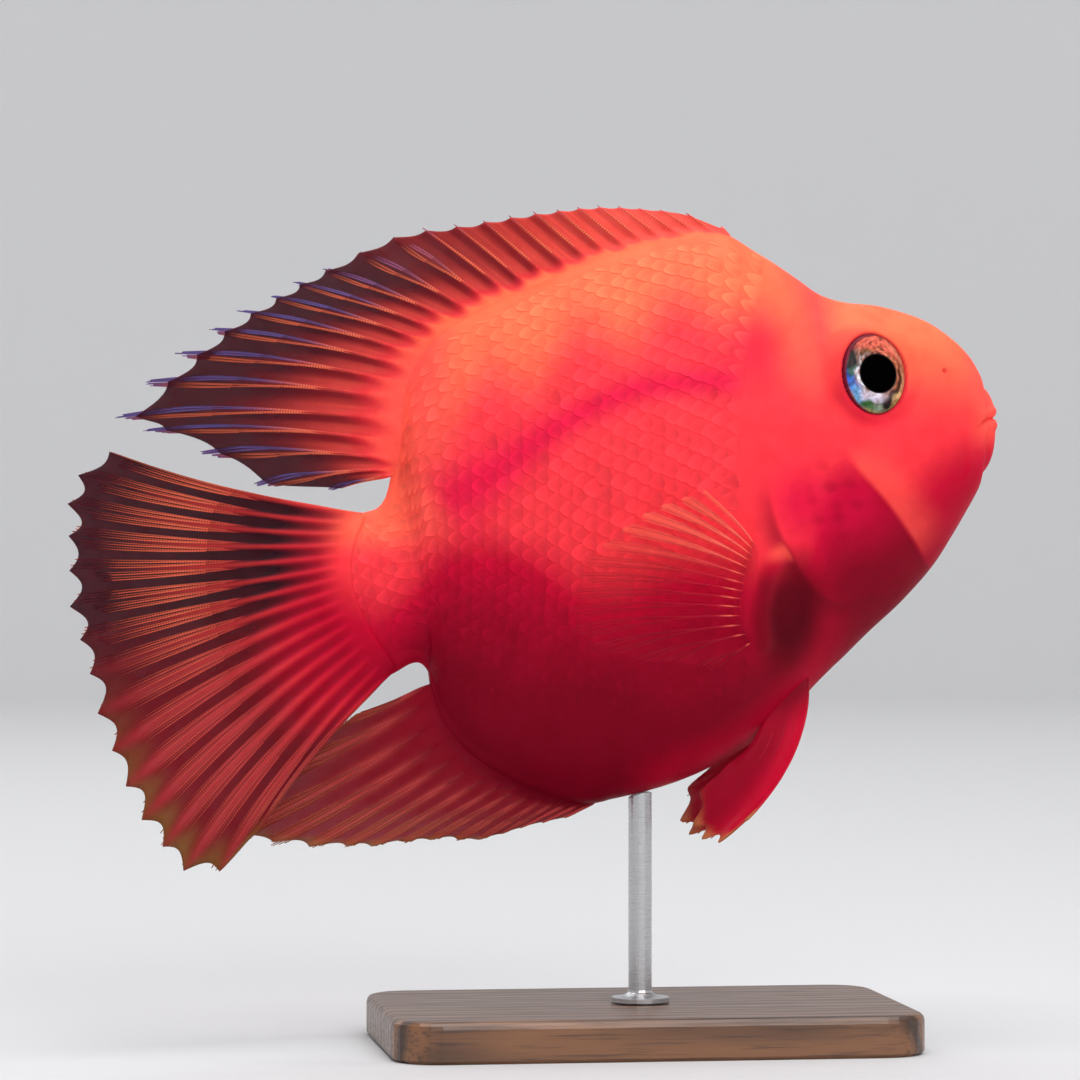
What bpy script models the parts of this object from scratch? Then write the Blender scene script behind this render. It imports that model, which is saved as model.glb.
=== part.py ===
"""Blood parrot cichlid, life size, swimming with its tail swung to its right, on a plain display stand.

The fish faces +X with its back up, and its right flank faces -Y. Sizes are in millimetres and become metres
where a mesh is made. The origin is the middle of the stand's underside, straight below the rod.

The fish is laid out straight first: a place on its trunk is given by a count of landmarks from the mouth
(along) and a turn from the back (around). Everything behind BEND_FROM is then swung along an arc.
"""

import math

import bpy
import numpy as np

MM = 0.001
GAP = 0.32  # between two pieces that touch
PI = math.pi

# Landmarks of the trunk from the mouth to the tail fin: where a section meets the back and the belly as
# (x, z), and its half width.
TRUNK = [
    ("mouth", (77.4, 138.5), (77.4, 137.8), 0.5),
    ("lip rim", (79.3, 140.7), (78.9, 134.3), 3.0),
    ("lips", (79.0, 142.8), (79.4, 130.4), 4.8),
    ("lip roots", (77.8, 145.2), (77.9, 126.2), 6.2),
    ("snout", (76.3, 148.4), (76.0, 121.9), 7.8),
    ("chin", (73.8, 152.4), (73.2, 116.9), 9.6),
    ("jaw joint", (69.7, 156.3), (70.3, 112.0), 11.8),
    ("cheek", (63.4, 160.2), (65.9, 105.2), 14.4),
    ("eye", (54.0, 163.0), (59.0, 97.5), 17.6),
    ("forehead", (46.0, 163.9), (51.0, 90.2), 19.8),
    ("gill opening", (41.0, 165.4), (44.0, 83.3), 21.2),
    ("nape", (35.0, 169.6), (35.5, 74.5), 22.2),
    ("shoulder", (27.0, 174.7), (25.5, 66.0), 22.9),
    ("hump", (17.0, 179.3), (13.2, 59.2), 23.2),
    ("back", (4.3, 177.5), (0.0, 54.9), 22.9),
    ("middle", (-9.5, 173.6), (-13.5, 53.0), 21.6),
    ("flank", (-24.0, 167.5), (-26.5, 56.6), 19.2),
    ("vent", (-37.5, 161.2), (-37.8, 63.2), 16.0),
    ("rear", (-47.6, 154.2), (-44.0, 70.5), 12.8),
    ("rear edge", (-53.4, 143.2), (-46.6, 77.6), 10.2),
    ("tail root", (-55.6, 126.0), (-47.6, 82.6), 8.2),
    ("tail stalk", (-58.6, 118.3), (-51.2, 84.0), 6.4),
    ("tail fin root", (-66.6, 117.0), (-60.3, 78.1), 2.4),
]
AT = {row[0]: number for number, row in enumerate(TRUNK)}
TOPS = np.array([row[1] for row in TRUNK])
LOWS = np.array([row[2] for row in TRUNK])
WIDTHS = np.array([row[3] for row in TRUNK])

WIDEST = 0.53  # height of the widest point, as a share of the section
GILL_BOW = 16.5  # how far the gill opening bows back at mid height
TAIL_BOW = 10.0  # how far the root of the tail fin bows back
BEND_FROM, BEND = -15.0, 0.0034  # where the tail starts to swing, and its curvature per millimetre

HEAD_END, TORSO_END = AT["gill opening"], AT["tail root"] + 0.6
HEAD_ROWS, TORSO_ROWS, STALK_ROWS = 23, 19, 4
AROUND = 40
SEAM = 0.035  # half the gap between two lengths of the trunk, in landmarks
FIRST_RING = 0.12  # the head's first ring behind the point of the mouth, in landmarks

# Small forms on the plain trunk: how far each stands out, and its spread in landmarks.
LIP_GROOVE, LIP_GROOVE_SPREAD = -0.6, 0.4
BROW, BROW_SPREAD, BROW_TURN = 0.9, 1.2, 0.27 * PI
CHEEK, CHEEK_SPREAD, CHEEK_TURN = 1.0, 1.1, 0.62 * PI
RELIEF_TURNS = 0.12 * PI  # spread of the brow and the cheek around the trunk

EYE_X, EYE_Z = 49.6, 147.4
EYE_RADIUS, EYE_BULGE, EYE_DEPTH = 9.0, 3.3, 6.0
EYE_SUNK = 1.3  # how far the eye's widest ring lies under the skin
EYE_FORWARD, EYE_UP = 24.0, 6.0  # degrees that the eye looks ahead and up
PUPIL_RADIUS = 5.1
PUPIL_FOOT, PUPIL_SIDE, PUPIL_SWELL = 1.6, 2.5, 1.25  # heights from the eye's widest ring
NOSTRIL_X, NOSTRIL_Z, NOSTRIL_RADIUS = 66.2, 148.4, 0.9
NOSTRIL_LOOK = (0.53, -0.7, 0.48)

MOUTH_CORNER, MOUTH_FRONT_Z = (71.5, 132.6), 138.0
MOUTH_OPEN = 1.4  # gap between the lips at the front
JAW_BACK = [(70.0, 126.5), (69.6, 120.0), (71.1, 114.7)]
JAW_HALF_WIDTH, JAW_ROOM_WIDER = 14.0, 4.0
JAW_AHEAD, JAW_FLOOR = 86.0, 105.0  # the jaw's outline closes here, clear of the head
MOUTH_FRONT_X, MOUTH_SLOPE = 78.0, 0.5

# The gill cover's front and rear edges on the flank, from its top to its foot.
COVER_FRONT = [(42.6, 137.6), (42.4, 130.0), (45.4, 123.4), (51.6, 116.6), (58.0, 110.4), (63.0, 105.8)]
COVER_REAR = [(31.6, 142.4), (25.6, 131.0), (24.3, 117.0), (27.6, 104.0), (39.0, 94.0), (57.0, 99.8)]
COVER_THIN, COVER_THICK = 0.5, 1.5
COVER_ROWS, COVER_COLUMNS = 18, 9
COVER_EDGE_THINNER, COVER_ENDS_THINNER = 0.5, 0.3

# Fins. A row says for one ray: its number, its root on the trunk in landmarks, and its tip (x, z).
DORSAL = [
    (0, 12.65, (16.5, 182.4)),
    (2, 13.30, (5.0, 183.9)),
    (5, 14.20, (-9.0, 184.5)),
    (8, 15.10, (-23.5, 182.8)),
    (11, 16.05, (-41.0, 179.8)),
    (13, 16.65, (-55.0, 177.3)),
    (15, 17.30, (-71.0, 170.0)),
    (17, 17.95, (-84.0, 163.8)),
    (19, 18.55, (-98.0, 156.2)),
    (21, 19.10, (-112.5, 144.6)),
    (22, 19.35, (-120.5, 136.8)),
    (23, 19.60, (-112.5, 134.2)),
    (24, 19.82, (-98.5, 129.4)),
    (25, 19.95, (-86.0, 122.6)),
    (26, 20.05, (-68.0, 122.0)),
]
ANAL = [
    (0, 14.70, (-16.6, 50.0)),
    (2, 15.10, (-26.4, 47.8)),
    (4, 15.50, (-36.0, 45.2)),
    (6, 15.98, (-47.0, 45.4)),
    (8, 16.50, (-60.0, 44.2)),
    (10, 17.20, (-73.0, 44.2)),
    (12, 18.20, (-87.5, 47.2)),
    (13, 18.85, (-79.0, 60.0)),
    (14, 19.35, (-62.5, 73.0)),
]
TAIL_TIPS = [
    (0, (-119.5, 130.0)),
    (1, (-127.0, 125.0)),
    (3, (-129.5, 112.0)),
    (5, (-129.0, 97.0)),
    (7, (-124.5, 82.5)),
    (9, (-119.5, 66.0)),
    (11, (-113.0, 51.5)),
    (13, (-104.0, 40.2)),
    (14, (-95.5, 40.0)),
    (15, (-86.5, 48.0)),
]
# The paired fins' rows: the ray's number, its root on the right flank (x, z) and its tip (x, y, z).
PECTORAL = [
    (0, (22.4, 109.4), (8.9, -29.5, 122.0)),
    (3, (22.4, 105.6), (-5.5, -33.0, 116.8)),
    (6, (21.9, 101.0), (-18.0, -35.0, 106.5)),
    (9, (21.4, 96.2), (-22.0, -35.0, 95.5)),
    (11, (21.4, 92.6), (-16.0, -34.0, 87.0)),
    (13, (22.2, 88.8), (11.5, -29.0, 83.0)),
]
PELVIC = [
    (0, (37.2, 80.6), (22.5, -9.5, 50.0)),
    (1, (35.4, 78.6), (15.9, -9.0, 44.6)),
    (2, (33.2, 76.4), (12.2, -8.5, 45.3)),
    (3, (31.0, 74.2), (10.2, -8.0, 48.5)),
    (4, (28.8, 72.2), (12.0, -7.5, 56.0)),
    (5, (26.8, 70.6), (18.5, -7.0, 62.0)),
]
MEMBRANE = 0.52  # thickness of a fin between its rays
FORK_ASIDE, FORK_ROOT = 0.22, 0.35  # how far a fork stands from its ray, in rays, and its height at the root
WEB_NEAR, WEB_FAR = 0.3, 0.7  # where the web's columns stand between two rays
END_THICKNESS, END_RAYS = 0.25, 1.5  # a fin's root thins to this share over so many rays at its ends
ROWS_CROWDED = 1.25  # the power that crowds a fin's rows towards its root
SHEATH_REACH = 0.3  # share of a ray that lies in the fleshy base
RIDGE_FADE = 0.55  # share of its height that a ray loses by its tip
SPLIT_FROM, SPLIT_TO = 0.35, 0.75

BASE_LENGTH, BASE_WIDTH, BASE_HEIGHT = 116.0, 72.0, 9.0
BASE_CORNER, BASE_BEVEL, BASE_FOOT = 10.0, 1.6, 0.8
ROD_RADIUS, ROD_FOOT_RADIUS, ROD_FOOT_HEIGHT = 2.6, 6.5, 2.6
ROD_SIDES = 24
ROD_TOP = 58.0  # reaches into the belly before it is cut to the belly's form


def smooth(low, high, value):
    """0 below low, 1 above high, and an even slope between."""
    share = np.clip((np.asarray(value, float) - low) / (high - low), 0.0, 1.0)
    return share * share * (3 - 2 * share)


def bump(middle, spread, value):
    """1 at the middle, falling to nothing about two spreads away."""
    return np.exp(-(((np.asarray(value, float) - middle) / spread) ** 2))


def through(marks, values, at):
    """A smooth curve through the values at the marks, read at the places in at."""
    marks, values = np.asarray(marks, float), np.asarray(values, float)
    at = np.clip(np.asarray(at, float), marks[0], marks[-1])
    start = np.clip(np.searchsorted(marks, at, side="right") - 1, 0, len(marks) - 2)
    before, after = np.maximum(start - 1, 0), np.minimum(start + 2, len(marks) - 1)
    span = marks[start + 1] - marks[start]
    share = (at - marks[start]) / span
    low_reach, high_reach = marks[start + 1] - marks[before], marks[after] - marks[start]
    if values.ndim > 1:
        span, share = span[..., None], share[..., None]
        low_reach, high_reach = low_reach[..., None], high_reach[..., None]
    low_slope = (values[start + 1] - values[before]) / low_reach * span
    high_slope = (values[after] - values[start]) / high_reach * span
    cube, square = share**3, share**2
    return (
        (2 * cube - 3 * square + 1) * values[start]
        + (cube - 2 * square + share) * low_slope
        + (3 * square - 2 * cube) * values[start + 1]
        + (cube - square) * high_slope
    )


def landmark_curve(values, along):
    return through(np.arange(len(TRUNK)), values, along)


def swing(points):
    """Bends points towards -Y behind BEND_FROM, keeping lengths along the body."""
    x, y, z = np.moveaxis(np.asarray(points, float), -1, 0)
    turn = np.maximum(BEND_FROM - x, 0.0) * BEND
    radius = 1 / BEND
    bent_x = np.maximum(x, BEND_FROM) - np.sin(turn) * (radius + y)
    bent_y = y * np.cos(turn) - (1 - np.cos(turn)) * radius
    return np.stack([bent_x, bent_y, z], axis=-1)


def pointed(along, share):
    """How pointed a section is: 1 is an oval, and more draws its back or belly out to an edge."""
    rear = smooth(AT["middle"], AT["rear edge"], along) - smooth(AT["tail root"], AT["tail fin root"], along)
    top = 0.95 + 0.2 * smooth(AT["eye"], AT["shoulder"], along) + 0.75 * rear
    low = 0.9 + 0.35 * bump(AT["forehead"], 3.0, along) + 0.95 * rear
    return low + (top - low) * smooth(0.2, 0.8, share)


def straight_form(along, around):
    """A point of the trunk's plain form. A section is a pointed oval between the back and the belly, and
    it bows back at the gill opening and at the tail fin."""
    along, around = np.broadcast_arrays(np.asarray(along, float), np.asarray(around, float))
    top, low = landmark_curve(TOPS, along), landmark_curve(LOWS, along)
    share = (1 + np.cos(around)) / 2
    side = np.abs(np.sin(around)) ** pointed(along, share)
    y = -np.sign(np.sin(around)) * landmark_curve(WIDTHS, along) * side
    level = share ** (math.log(WIDEST) / math.log(0.5))
    middle = low + (top - low) * level[..., None]
    bow = GILL_BOW * bump(AT["gill opening"], 2.4, along)
    bow = bow + TAIL_BOW * smooth(AT["tail root"], AT["tail fin root"], along)
    return np.stack([middle[..., 0] - bow * np.sin(around) ** 2, y, middle[..., 1]], axis=-1)


def relief(along, around):
    """How far small forms stand out from the plain form: the lips' groove, the brow and the cheek."""
    turn = np.arccos(np.clip(np.cos(around), -1, 1))
    groove = LIP_GROOVE * bump(AT["lip roots"] + 0.3, LIP_GROOVE_SPREAD, along)
    brow = BROW * bump(AT["eye"] - 0.4, BROW_SPREAD, along) * bump(BROW_TURN, RELIEF_TURNS, turn)
    cheek = CHEEK * bump(AT["eye"] - 0.6, CHEEK_SPREAD, along) * bump(CHEEK_TURN, RELIEF_TURNS, turn)
    return groove + brow + cheek


def straight_trunk(along, around, lift=0.0):
    """A point of the trunk's surface before it is swung, or lift millimetres outside it."""
    along, around = np.broadcast_arrays(np.asarray(along, float), np.asarray(around, float))
    step = 0.02
    back = straight_form(along + step, around) - straight_form(along - step, around)
    turned = straight_form(along, around + step) - straight_form(along, around - step)
    out = np.cross(back, turned)
    out /= np.maximum(np.linalg.norm(out, axis=-1, keepdims=True), 1e-9)
    return straight_form(along, around) + out * (relief(along, around) + lift)[..., None]


def trunk(along, around, lift=0.0):
    return swing(straight_trunk(along, around, lift))


def flank_place(x, z):
    """(along, around) where the right flank passes x and z: the nearest of a grid, then of four finer ones."""
    centre = np.array([10.0, 0.5 * PI])
    reach = np.array([9.0, 0.46 * PI])
    for _ in range(5):
        rows = centre[0] + np.linspace(-1, 1, 41)[:, None] * reach[0]
        turns = np.clip(centre[1] + np.linspace(-1, 1, 41)[None, :] * reach[1], 0.02, PI - 0.02)
        points = straight_trunk(rows, turns)
        nearest = np.argmin(np.hypot(points[..., 0] - x, points[..., 2] - z))
        row, turn = np.unravel_index(nearest, points.shape[:2])
        centre = np.array([rows[row, 0], turns[0, turn]])
        reach = reach / 8
    return centre


def edge_turn(along, half, low=False):
    """The turn from the back, or from the belly, at which the trunk is half millimetres wide on each side."""
    power = pointed(along, np.full(np.shape(along), 0.0 if low else 1.0))
    return np.arcsin(np.minimum(half / landmark_curve(WIDTHS, along), 0.9) ** (1 / power))


def material(name, colour, roughness, metallic=0.0):
    made = bpy.data.materials.new(name)
    made.use_nodes = True
    shader = made.node_tree.nodes["Principled BSDF"]
    shader.inputs["Base Color"].default_value = (*colour, 1.0)
    shader.inputs["Roughness"].default_value = roughness
    shader.inputs["Metallic"].default_value = metallic
    made.diffuse_color = (*colour, 1.0)
    return made


def add(name, points, faces, finish, sharp_degrees=40.0):
    """A named object from points in millimetres."""
    mesh = bpy.data.meshes.new(name)
    mesh.from_pydata((np.asarray(points) * MM).tolist(), [], [tuple(int(n) for n in face) for face in faces])
    mesh.materials.append(finish)
    mesh.shade_smooth()
    mesh.set_sharp_from_angle(angle=math.radians(sharp_degrees))
    made = bpy.data.objects.new(name, mesh)
    bpy.context.scene.collection.objects.link(made)
    return made


def helper(made):
    made.hide_render = True
    made.display_type = "WIRE"
    return made


def boolean(piece, tool, operation="DIFFERENCE"):
    modifier = piece.modifiers.new(tool.name, "BOOLEAN")
    modifier.operation = operation
    modifier.solver = "EXACT"
    modifier.object = tool


def ring_strip(first, second):
    """Triangles between two closed rows of points, facing out where the second row lies to the right."""
    faces = []
    for i in range(len(first)):
        j = (i + 1) % len(first)
        faces += [(first[i], second[i], second[j]), (first[i], second[j], first[j])]
    return faces


def flank_to_flank(ring, facing_back):
    """Closes an end of the trunk with faces that run from the right flank straight to the left."""
    half = len(ring) // 2
    faces = []
    for i in range(half):
        right, left = (ring[i], ring[i + 1]), (ring[-i], ring[-i - 1])
        if i == 0:
            loops = [(right[0], left[1], right[1])]
        elif i == half - 1:
            loops = [(right[0], left[0], right[1])]
        else:
            loops = [(right[0], left[0], left[1]), (right[0], left[1], right[1])]
        faces += loops if facing_back else [loop[::-1] for loop in loops]
    return faces


def trunk_length(name, start, end, rows, finish, lift=0.0, crowding=1.0):
    """A closed length of the trunk between two places along it, its rows crowded towards its rear end where
    crowding is more than 1. At the mouth it closes to a point."""
    alongs = start + (end - start) * (1 - (1 - np.linspace(0, 1, rows + 1)) ** crowding)
    if start == 0:
        alongs[0] = FIRST_RING
    turns = np.arange(AROUND) * 2 * PI / AROUND
    points = trunk(alongs[:, None], turns[None, :], lift).reshape(-1, 3)
    numbers = np.arange(len(points)).reshape(rows + 1, AROUND)
    faces = []
    for i in range(rows):
        faces += ring_strip(numbers[i], numbers[i + 1])
    faces += flank_to_flank(numbers[-1], True)
    if start > 0:
        faces += flank_to_flank(numbers[0], False)
        return add(name, points, faces, finish)
    tip = len(points)
    points = np.vstack([points, points[:AROUND].mean(axis=0)])
    faces += [(tip, numbers[0][i], numbers[0][(i + 1) % AROUND]) for i in range(AROUND)]
    return add(name, points, faces, finish)


def extruded_outline(name, outline, half_width, finish):
    """A closed prism from an outline of (x, z) points, from -half_width to half_width in Y."""
    count = len(outline)
    right = [(x, -half_width, z) for x, z in outline]
    left = [(x, half_width, z) for x, z in outline]
    faces = [tuple(range(count)), tuple(range(2 * count - 1, count - 1, -1))]
    faces += [(i, i + count, (i + 1) % count + count, (i + 1) % count) for i in range(count)]
    return add(name, right + left, faces, finish)


def grown(outline, gap):
    """A convex outline, given clockwise, with every side moved out by gap."""
    points = np.array(outline)
    ahead = np.roll(points, -1, axis=0) - points
    ahead /= np.linalg.norm(ahead, axis=1, keepdims=True)
    out = np.stack([-ahead[:, 1], ahead[:, 0]], axis=1)
    before = np.roll(out, 1, axis=0)
    share = 1 + np.sum(out * before, axis=1, keepdims=True)
    return (points + (out + before) * gap / share).tolist()


def jaw_outline(gap, opening):
    """What the lower jaw takes of the head, seen from the right: below the mouth and ahead of its joint."""
    rise = (JAW_AHEAD - MOUTH_FRONT_X) * MOUTH_SLOPE
    top = [(JAW_AHEAD, MOUTH_FRONT_Z + opening + rise), MOUTH_CORNER]
    outline = grown((top + JAW_BACK + [(JAW_AHEAD, JAW_FLOOR)])[::-1], gap)
    return outline[::-1]


def turned(name, centre, outward, profile, finish, sides=24):
    """A closed form turned about outward, from a profile of (radius, height) that starts at its outer pole
    and ends at its inner one."""
    outward = np.asarray(outward, float)
    across = np.cross(outward, (0.0, 0.0, 1.0))
    across /= np.linalg.norm(across)
    upward = np.cross(outward, across)
    turn = np.arange(sides) * 2 * PI / sides
    flat = np.cos(turn)[:, None] * across + np.sin(turn)[:, None] * upward
    rings = [flat * radius + outward * height for radius, height in profile[1:-1]]
    poles = [outward * profile[0][1], outward * profile[-1][1]]
    points = np.vstack(rings + [poles]) + centre
    numbers = np.arange(len(rings) * sides).reshape(len(rings), sides)
    top, bottom = len(rings) * sides, len(rings) * sides + 1
    faces = []
    for i in range(len(rings) - 1):
        faces += ring_strip(numbers[i], numbers[i + 1])
    faces += [(top, numbers[0][i], numbers[0][(i + 1) % sides]) for i in range(sides)]
    faces += [(bottom, numbers[-1][(i + 1) % sides], numbers[-1][i]) for i in range(sides)]
    return add(name, points, faces, finish)


def dome(radius, height, low, high, steps):
    """Part of an oval's outline, from the turn low to high as seen from its pole."""
    turns = np.linspace(low, high, steps)
    return [(radius * math.sin(turn), height * math.cos(turn)) for turn in turns]


def mirror(vector, side):
    """A right-flank place or direction as it is, or moved to the left flank where side is 1."""
    return np.asarray(vector, float) * np.array([1.0, -side, 1.0])


def grid_shell(name, outer, inner, finish):
    """A closed shell from two grids of points, both split along the same diagonals. Outer faces out where
    its columns run to the right of its rows."""
    rows, columns = outer.shape[:2]
    out = np.arange(rows * columns).reshape(rows, columns)
    faces = []
    for i in range(rows - 1):
        for j in range(columns - 1):
            a, b, c, d = out[i, j], out[i, j + 1], out[i + 1, j + 1], out[i + 1, j]
            faces += [(a, b, c), (a, c, d)]
    under = [tuple(n + rows * columns for n in face[::-1]) for face in faces]
    rim = [*out[0, :-1], *out[:-1, -1], *out[-1, :0:-1], *out[:0:-1, 0]]
    for a, b in zip(rim, rim[1:] + rim[:1]):
        faces += [(b, a, a + rows * columns), (b, a + rows * columns, b + rows * columns)]
    return add(name, np.vstack([outer.reshape(-1, 3), inner.reshape(-1, 3)]), faces + under, finish)


def gill_cover(name, side, finish):
    """A thin plate over the cheek's rear and the gill opening, thickest near its free rear edge."""
    share = np.linspace(0, 1, COVER_ROWS)
    marks = np.linspace(0, 1, len(COVER_FRONT))
    front = through(marks, [flank_place(*place) for place in COVER_FRONT], share)
    rear = through(marks, [flank_place(*place) for place in COVER_REAR], share)
    across = np.linspace(0, 1, COVER_COLUMNS)
    places = front[:, None, :] + (rear - front)[:, None, :] * across[None, :, None]
    thick = COVER_THIN + (COVER_THICK - COVER_THIN) * smooth(0.1, 0.85, across)
    thick = thick - COVER_EDGE_THINNER * smooth(0.88, 1, across)
    ends = (smooth(0.9, 1, share) + smooth(0.1, 0, share))[:, None] * smooth(0, 0.9, across)
    thick = thick[None, :] - COVER_ENDS_THINNER * ends
    inner = mirror(trunk(places[..., 0], places[..., 1], GAP), side)
    outer = mirror(trunk(places[..., 0], places[..., 1], GAP + thick), side)
    if side == 1:
        outer, inner = outer[:, ::-1], inner[:, ::-1]
    return grid_shell(name, outer, inner, finish)


def fin_columns(rays, split):
    """Where a fin's columns of points stand, counted in rays, and how far each stands up as a ray at its
    root and at its tip. An inner ray that splits has a ridge on both sides of its own line at its tip."""
    columns = []
    for ray in range(rays):
        if split and 0 < ray < rays - 1:
            before, behind = (ray - FORK_ASIDE, FORK_ROOT, 1.0), (ray + FORK_ASIDE, FORK_ROOT, 1.0)
            columns += [before, (ray, 1.0, 0.0), behind]
        else:
            columns += [(ray, 1.0, 1.0)]
        if ray < rays - 1:
            between = [0.5] if split else [WEB_NEAR, WEB_FAR]
            columns += [(ray + share, 0.0, 0.0) for share in between]
    return np.array(columns).T


def end_taper(place, rays):
    """1 over most of a fin's root, falling to END_THICKNESS at its first and last ray."""
    inner = smooth(0, END_RAYS, place) * smooth(rays - 1, rays - 1 - END_RAYS, place)
    return END_THICKNESS + (1 - END_THICKNESS) * inner


def fin(rays, line, roots, root_half, ridge=0.42, notch=0.05, rows=7, split=False, midline=0):
    """A thin fin with its rays raised on both faces. line(place, share) gives a ray's line from its root
    to its tip, and roots(place, face) the points of each face's foot on the body, with face 1, 0 or -1.
    A fin of the midline is as thick as its rays in Y, with its first face towards midline times +Y, and
    is swung with the body. Any other is thick across its own surface."""
    places, root_ridge, tip_ridge = fin_columns(rays, split)
    share = np.linspace(0, 1, rows + 1) ** ROWS_CROWDED
    ridges = root_ridge[:, None] + (tip_ridge - root_ridge)[:, None] * smooth(SPLIT_FROM, SPLIT_TO, share)
    reach = 1 - notch * (1 - tip_ridge) * (0.7 + 0.3 * np.cos(5.3 * places))
    shares = share[None, :] * reach[:, None]
    across = np.broadcast_to(places[:, None], shares.shape)
    centre = line(across, shares)
    if midline:
        normal = np.array([0.0, float(midline), 0.0])
    else:
        outward = line(across, shares + 0.01) - line(across, shares - 0.01)
        sideways = line(across + 0.01, shares) - line(across - 0.01, shares)
        normal = np.cross(outward, sideways)
        normal /= np.maximum(np.linalg.norm(normal, axis=-1, keepdims=True), 1e-9)
    sheath = (root_half * end_taper(across, rays) - MEMBRANE / 2) * (1 - smooth(0, SHEATH_REACH, shares))
    half = MEMBRANE / 2 + sheath + ridge * ridges * (1 - RIDGE_FADE * shares)
    near, far = centre + normal * half[..., None], centre - normal * half[..., None]
    near[:, 0], far[:, 0], foot = roots(places, 1), roots(places, -1), roots(places, 0)
    if midline:
        near, far, foot = swing(near), swing(far), swing(foot)
    return near, far, foot


def fin_mesh(name, near, far, foot, finish, flipped=False):
    """Joins a fin's two faces at its outer edge, its ends and its foot."""
    columns, rows = near.shape[:2]
    close = np.arange(columns * rows).reshape(columns, rows)
    away = close + columns * rows
    feet = np.arange(columns) + 2 * columns * rows
    faces = []
    for i in range(columns - 1):
        for j in range(rows - 1):
            a, b, c, d = close[i, j], close[i, j + 1], close[i + 1, j + 1], close[i + 1, j]
            faces += [(a, b, c), (a, c, d)]
            a, b, c, d = away[i, j], away[i, j + 1], away[i + 1, j + 1], away[i + 1, j]
            faces += [(c, b, a), (d, c, a)]
        faces += [(close[i, -1], away[i, -1], away[i + 1, -1]), (close[i, -1], away[i + 1, -1], close[i + 1, -1])]
        faces += [(feet[i], close[i, 0], close[i + 1, 0]), (feet[i], close[i + 1, 0], feet[i + 1])]
        faces += [(away[i, 0], feet[i], feet[i + 1]), (away[i, 0], feet[i + 1], away[i + 1, 0])]
    for i, turned in ((0, False), (columns - 1, True)):
        loops = [(feet[i], away[i, 0], away[i, 1]), (feet[i], away[i, 1], close[i, 1])]
        loops += [(feet[i], close[i, 1], close[i, 0])]
        for j in range(1, rows - 1):
            loops += [(close[i, j], away[i, j], away[i, j + 1]), (close[i, j], away[i, j + 1], close[i, j + 1])]
        faces += [loop[::-1] for loop in loops] if turned else loops
    if flipped:
        faces = [face[::-1] for face in faces]
    return add(name, np.vstack([near.reshape(-1, 3), far.reshape(-1, 3), foot]), faces, finish)


def bowed(root, tip, share, bow):
    """A line from root to tip that bows up by bow times its length, in the plane of the fish."""
    reach = tip - root
    aside = np.stack([reach[..., 2], 0 * reach[..., 1], -reach[..., 0]], axis=-1)
    return root + reach * share[..., None] + aside * (4 * share * (1 - share) * bow)[..., None]


def midline_fin(name, table, low, finish, root_half, bow, lean, ripple, rows):
    """A fin on the back or the belly. It leans sideways by lean at its rear and ripples along its edge."""
    marks = [row[0] for row in table]
    rays = marks[-1] + 1
    turn = PI if low else 0.0

    def root_along(place):
        return through(marks, [row[1] for row in table], place)

    def line(place, share):
        tip = through(marks, [row[2] for row in table], place)
        tip = np.stack([tip[..., 0], 0 * tip[..., 0], tip[..., 1]], axis=-1)
        root = straight_trunk(root_along(place), turn, GAP)
        root[..., 1] = 0.0
        points = bowed(root, tip, share, bow * smooth(0.2 * rays, 0.8 * rays, place))
        length = np.linalg.norm(tip - root, axis=-1)
        sway = lean * smooth(0.4 * rays, 0.9 * rays, place) * length
        sway = sway + ripple * np.sin(0.55 * place) * smooth(0.3, 1, share)
        points[..., 1] += sway * share
        return points

    def roots(place, face):
        along = root_along(place)
        half = root_half * end_taper(place, rays)
        return straight_trunk(along, turn + face * edge_turn(along, half, low), GAP)

    midline = 1 if low else -1
    return fin_mesh(name, *fin(rays, line, roots, root_half, rows=rows, midline=midline), finish)


def tail_fin(name, finish):
    """The tail fin, from the end of the tail stalk. Its lower half is swung a little further to the right."""
    marks = [row[0] for row in TAIL_TIPS]
    rays = marks[-1] + 1
    end = AT["tail fin root"]

    def around(place):
        level = 0.985 - 0.97 * place / (rays - 1)
        return np.arccos(2 * level ** (math.log(0.5) / math.log(WIDEST)) - 1)

    def root(place, face):
        points = straight_trunk(end, around(place))
        points[..., 1] *= face * 0.85
        points[..., 0] -= GAP
        return points

    def line(place, share):
        tip = through(marks, [row[1] for row in TAIL_TIPS], place)
        tip = np.stack([tip[..., 0], -3.0 * smooth(0.3 * rays, rays, place), tip[..., 1]], axis=-1)
        points = bowed(root(place, 0), tip, share, -0.03 + 0.07 * place / rays)
        points[..., 1] += 0.9 * np.sin(0.8 * place + 1.0) * share**2
        return points

    faces = fin(rays, line, root, 1.5, ridge=0.4, notch=0.07, rows=7, split=True, midline=-1)
    return fin_mesh(name, *faces, finish)


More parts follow.
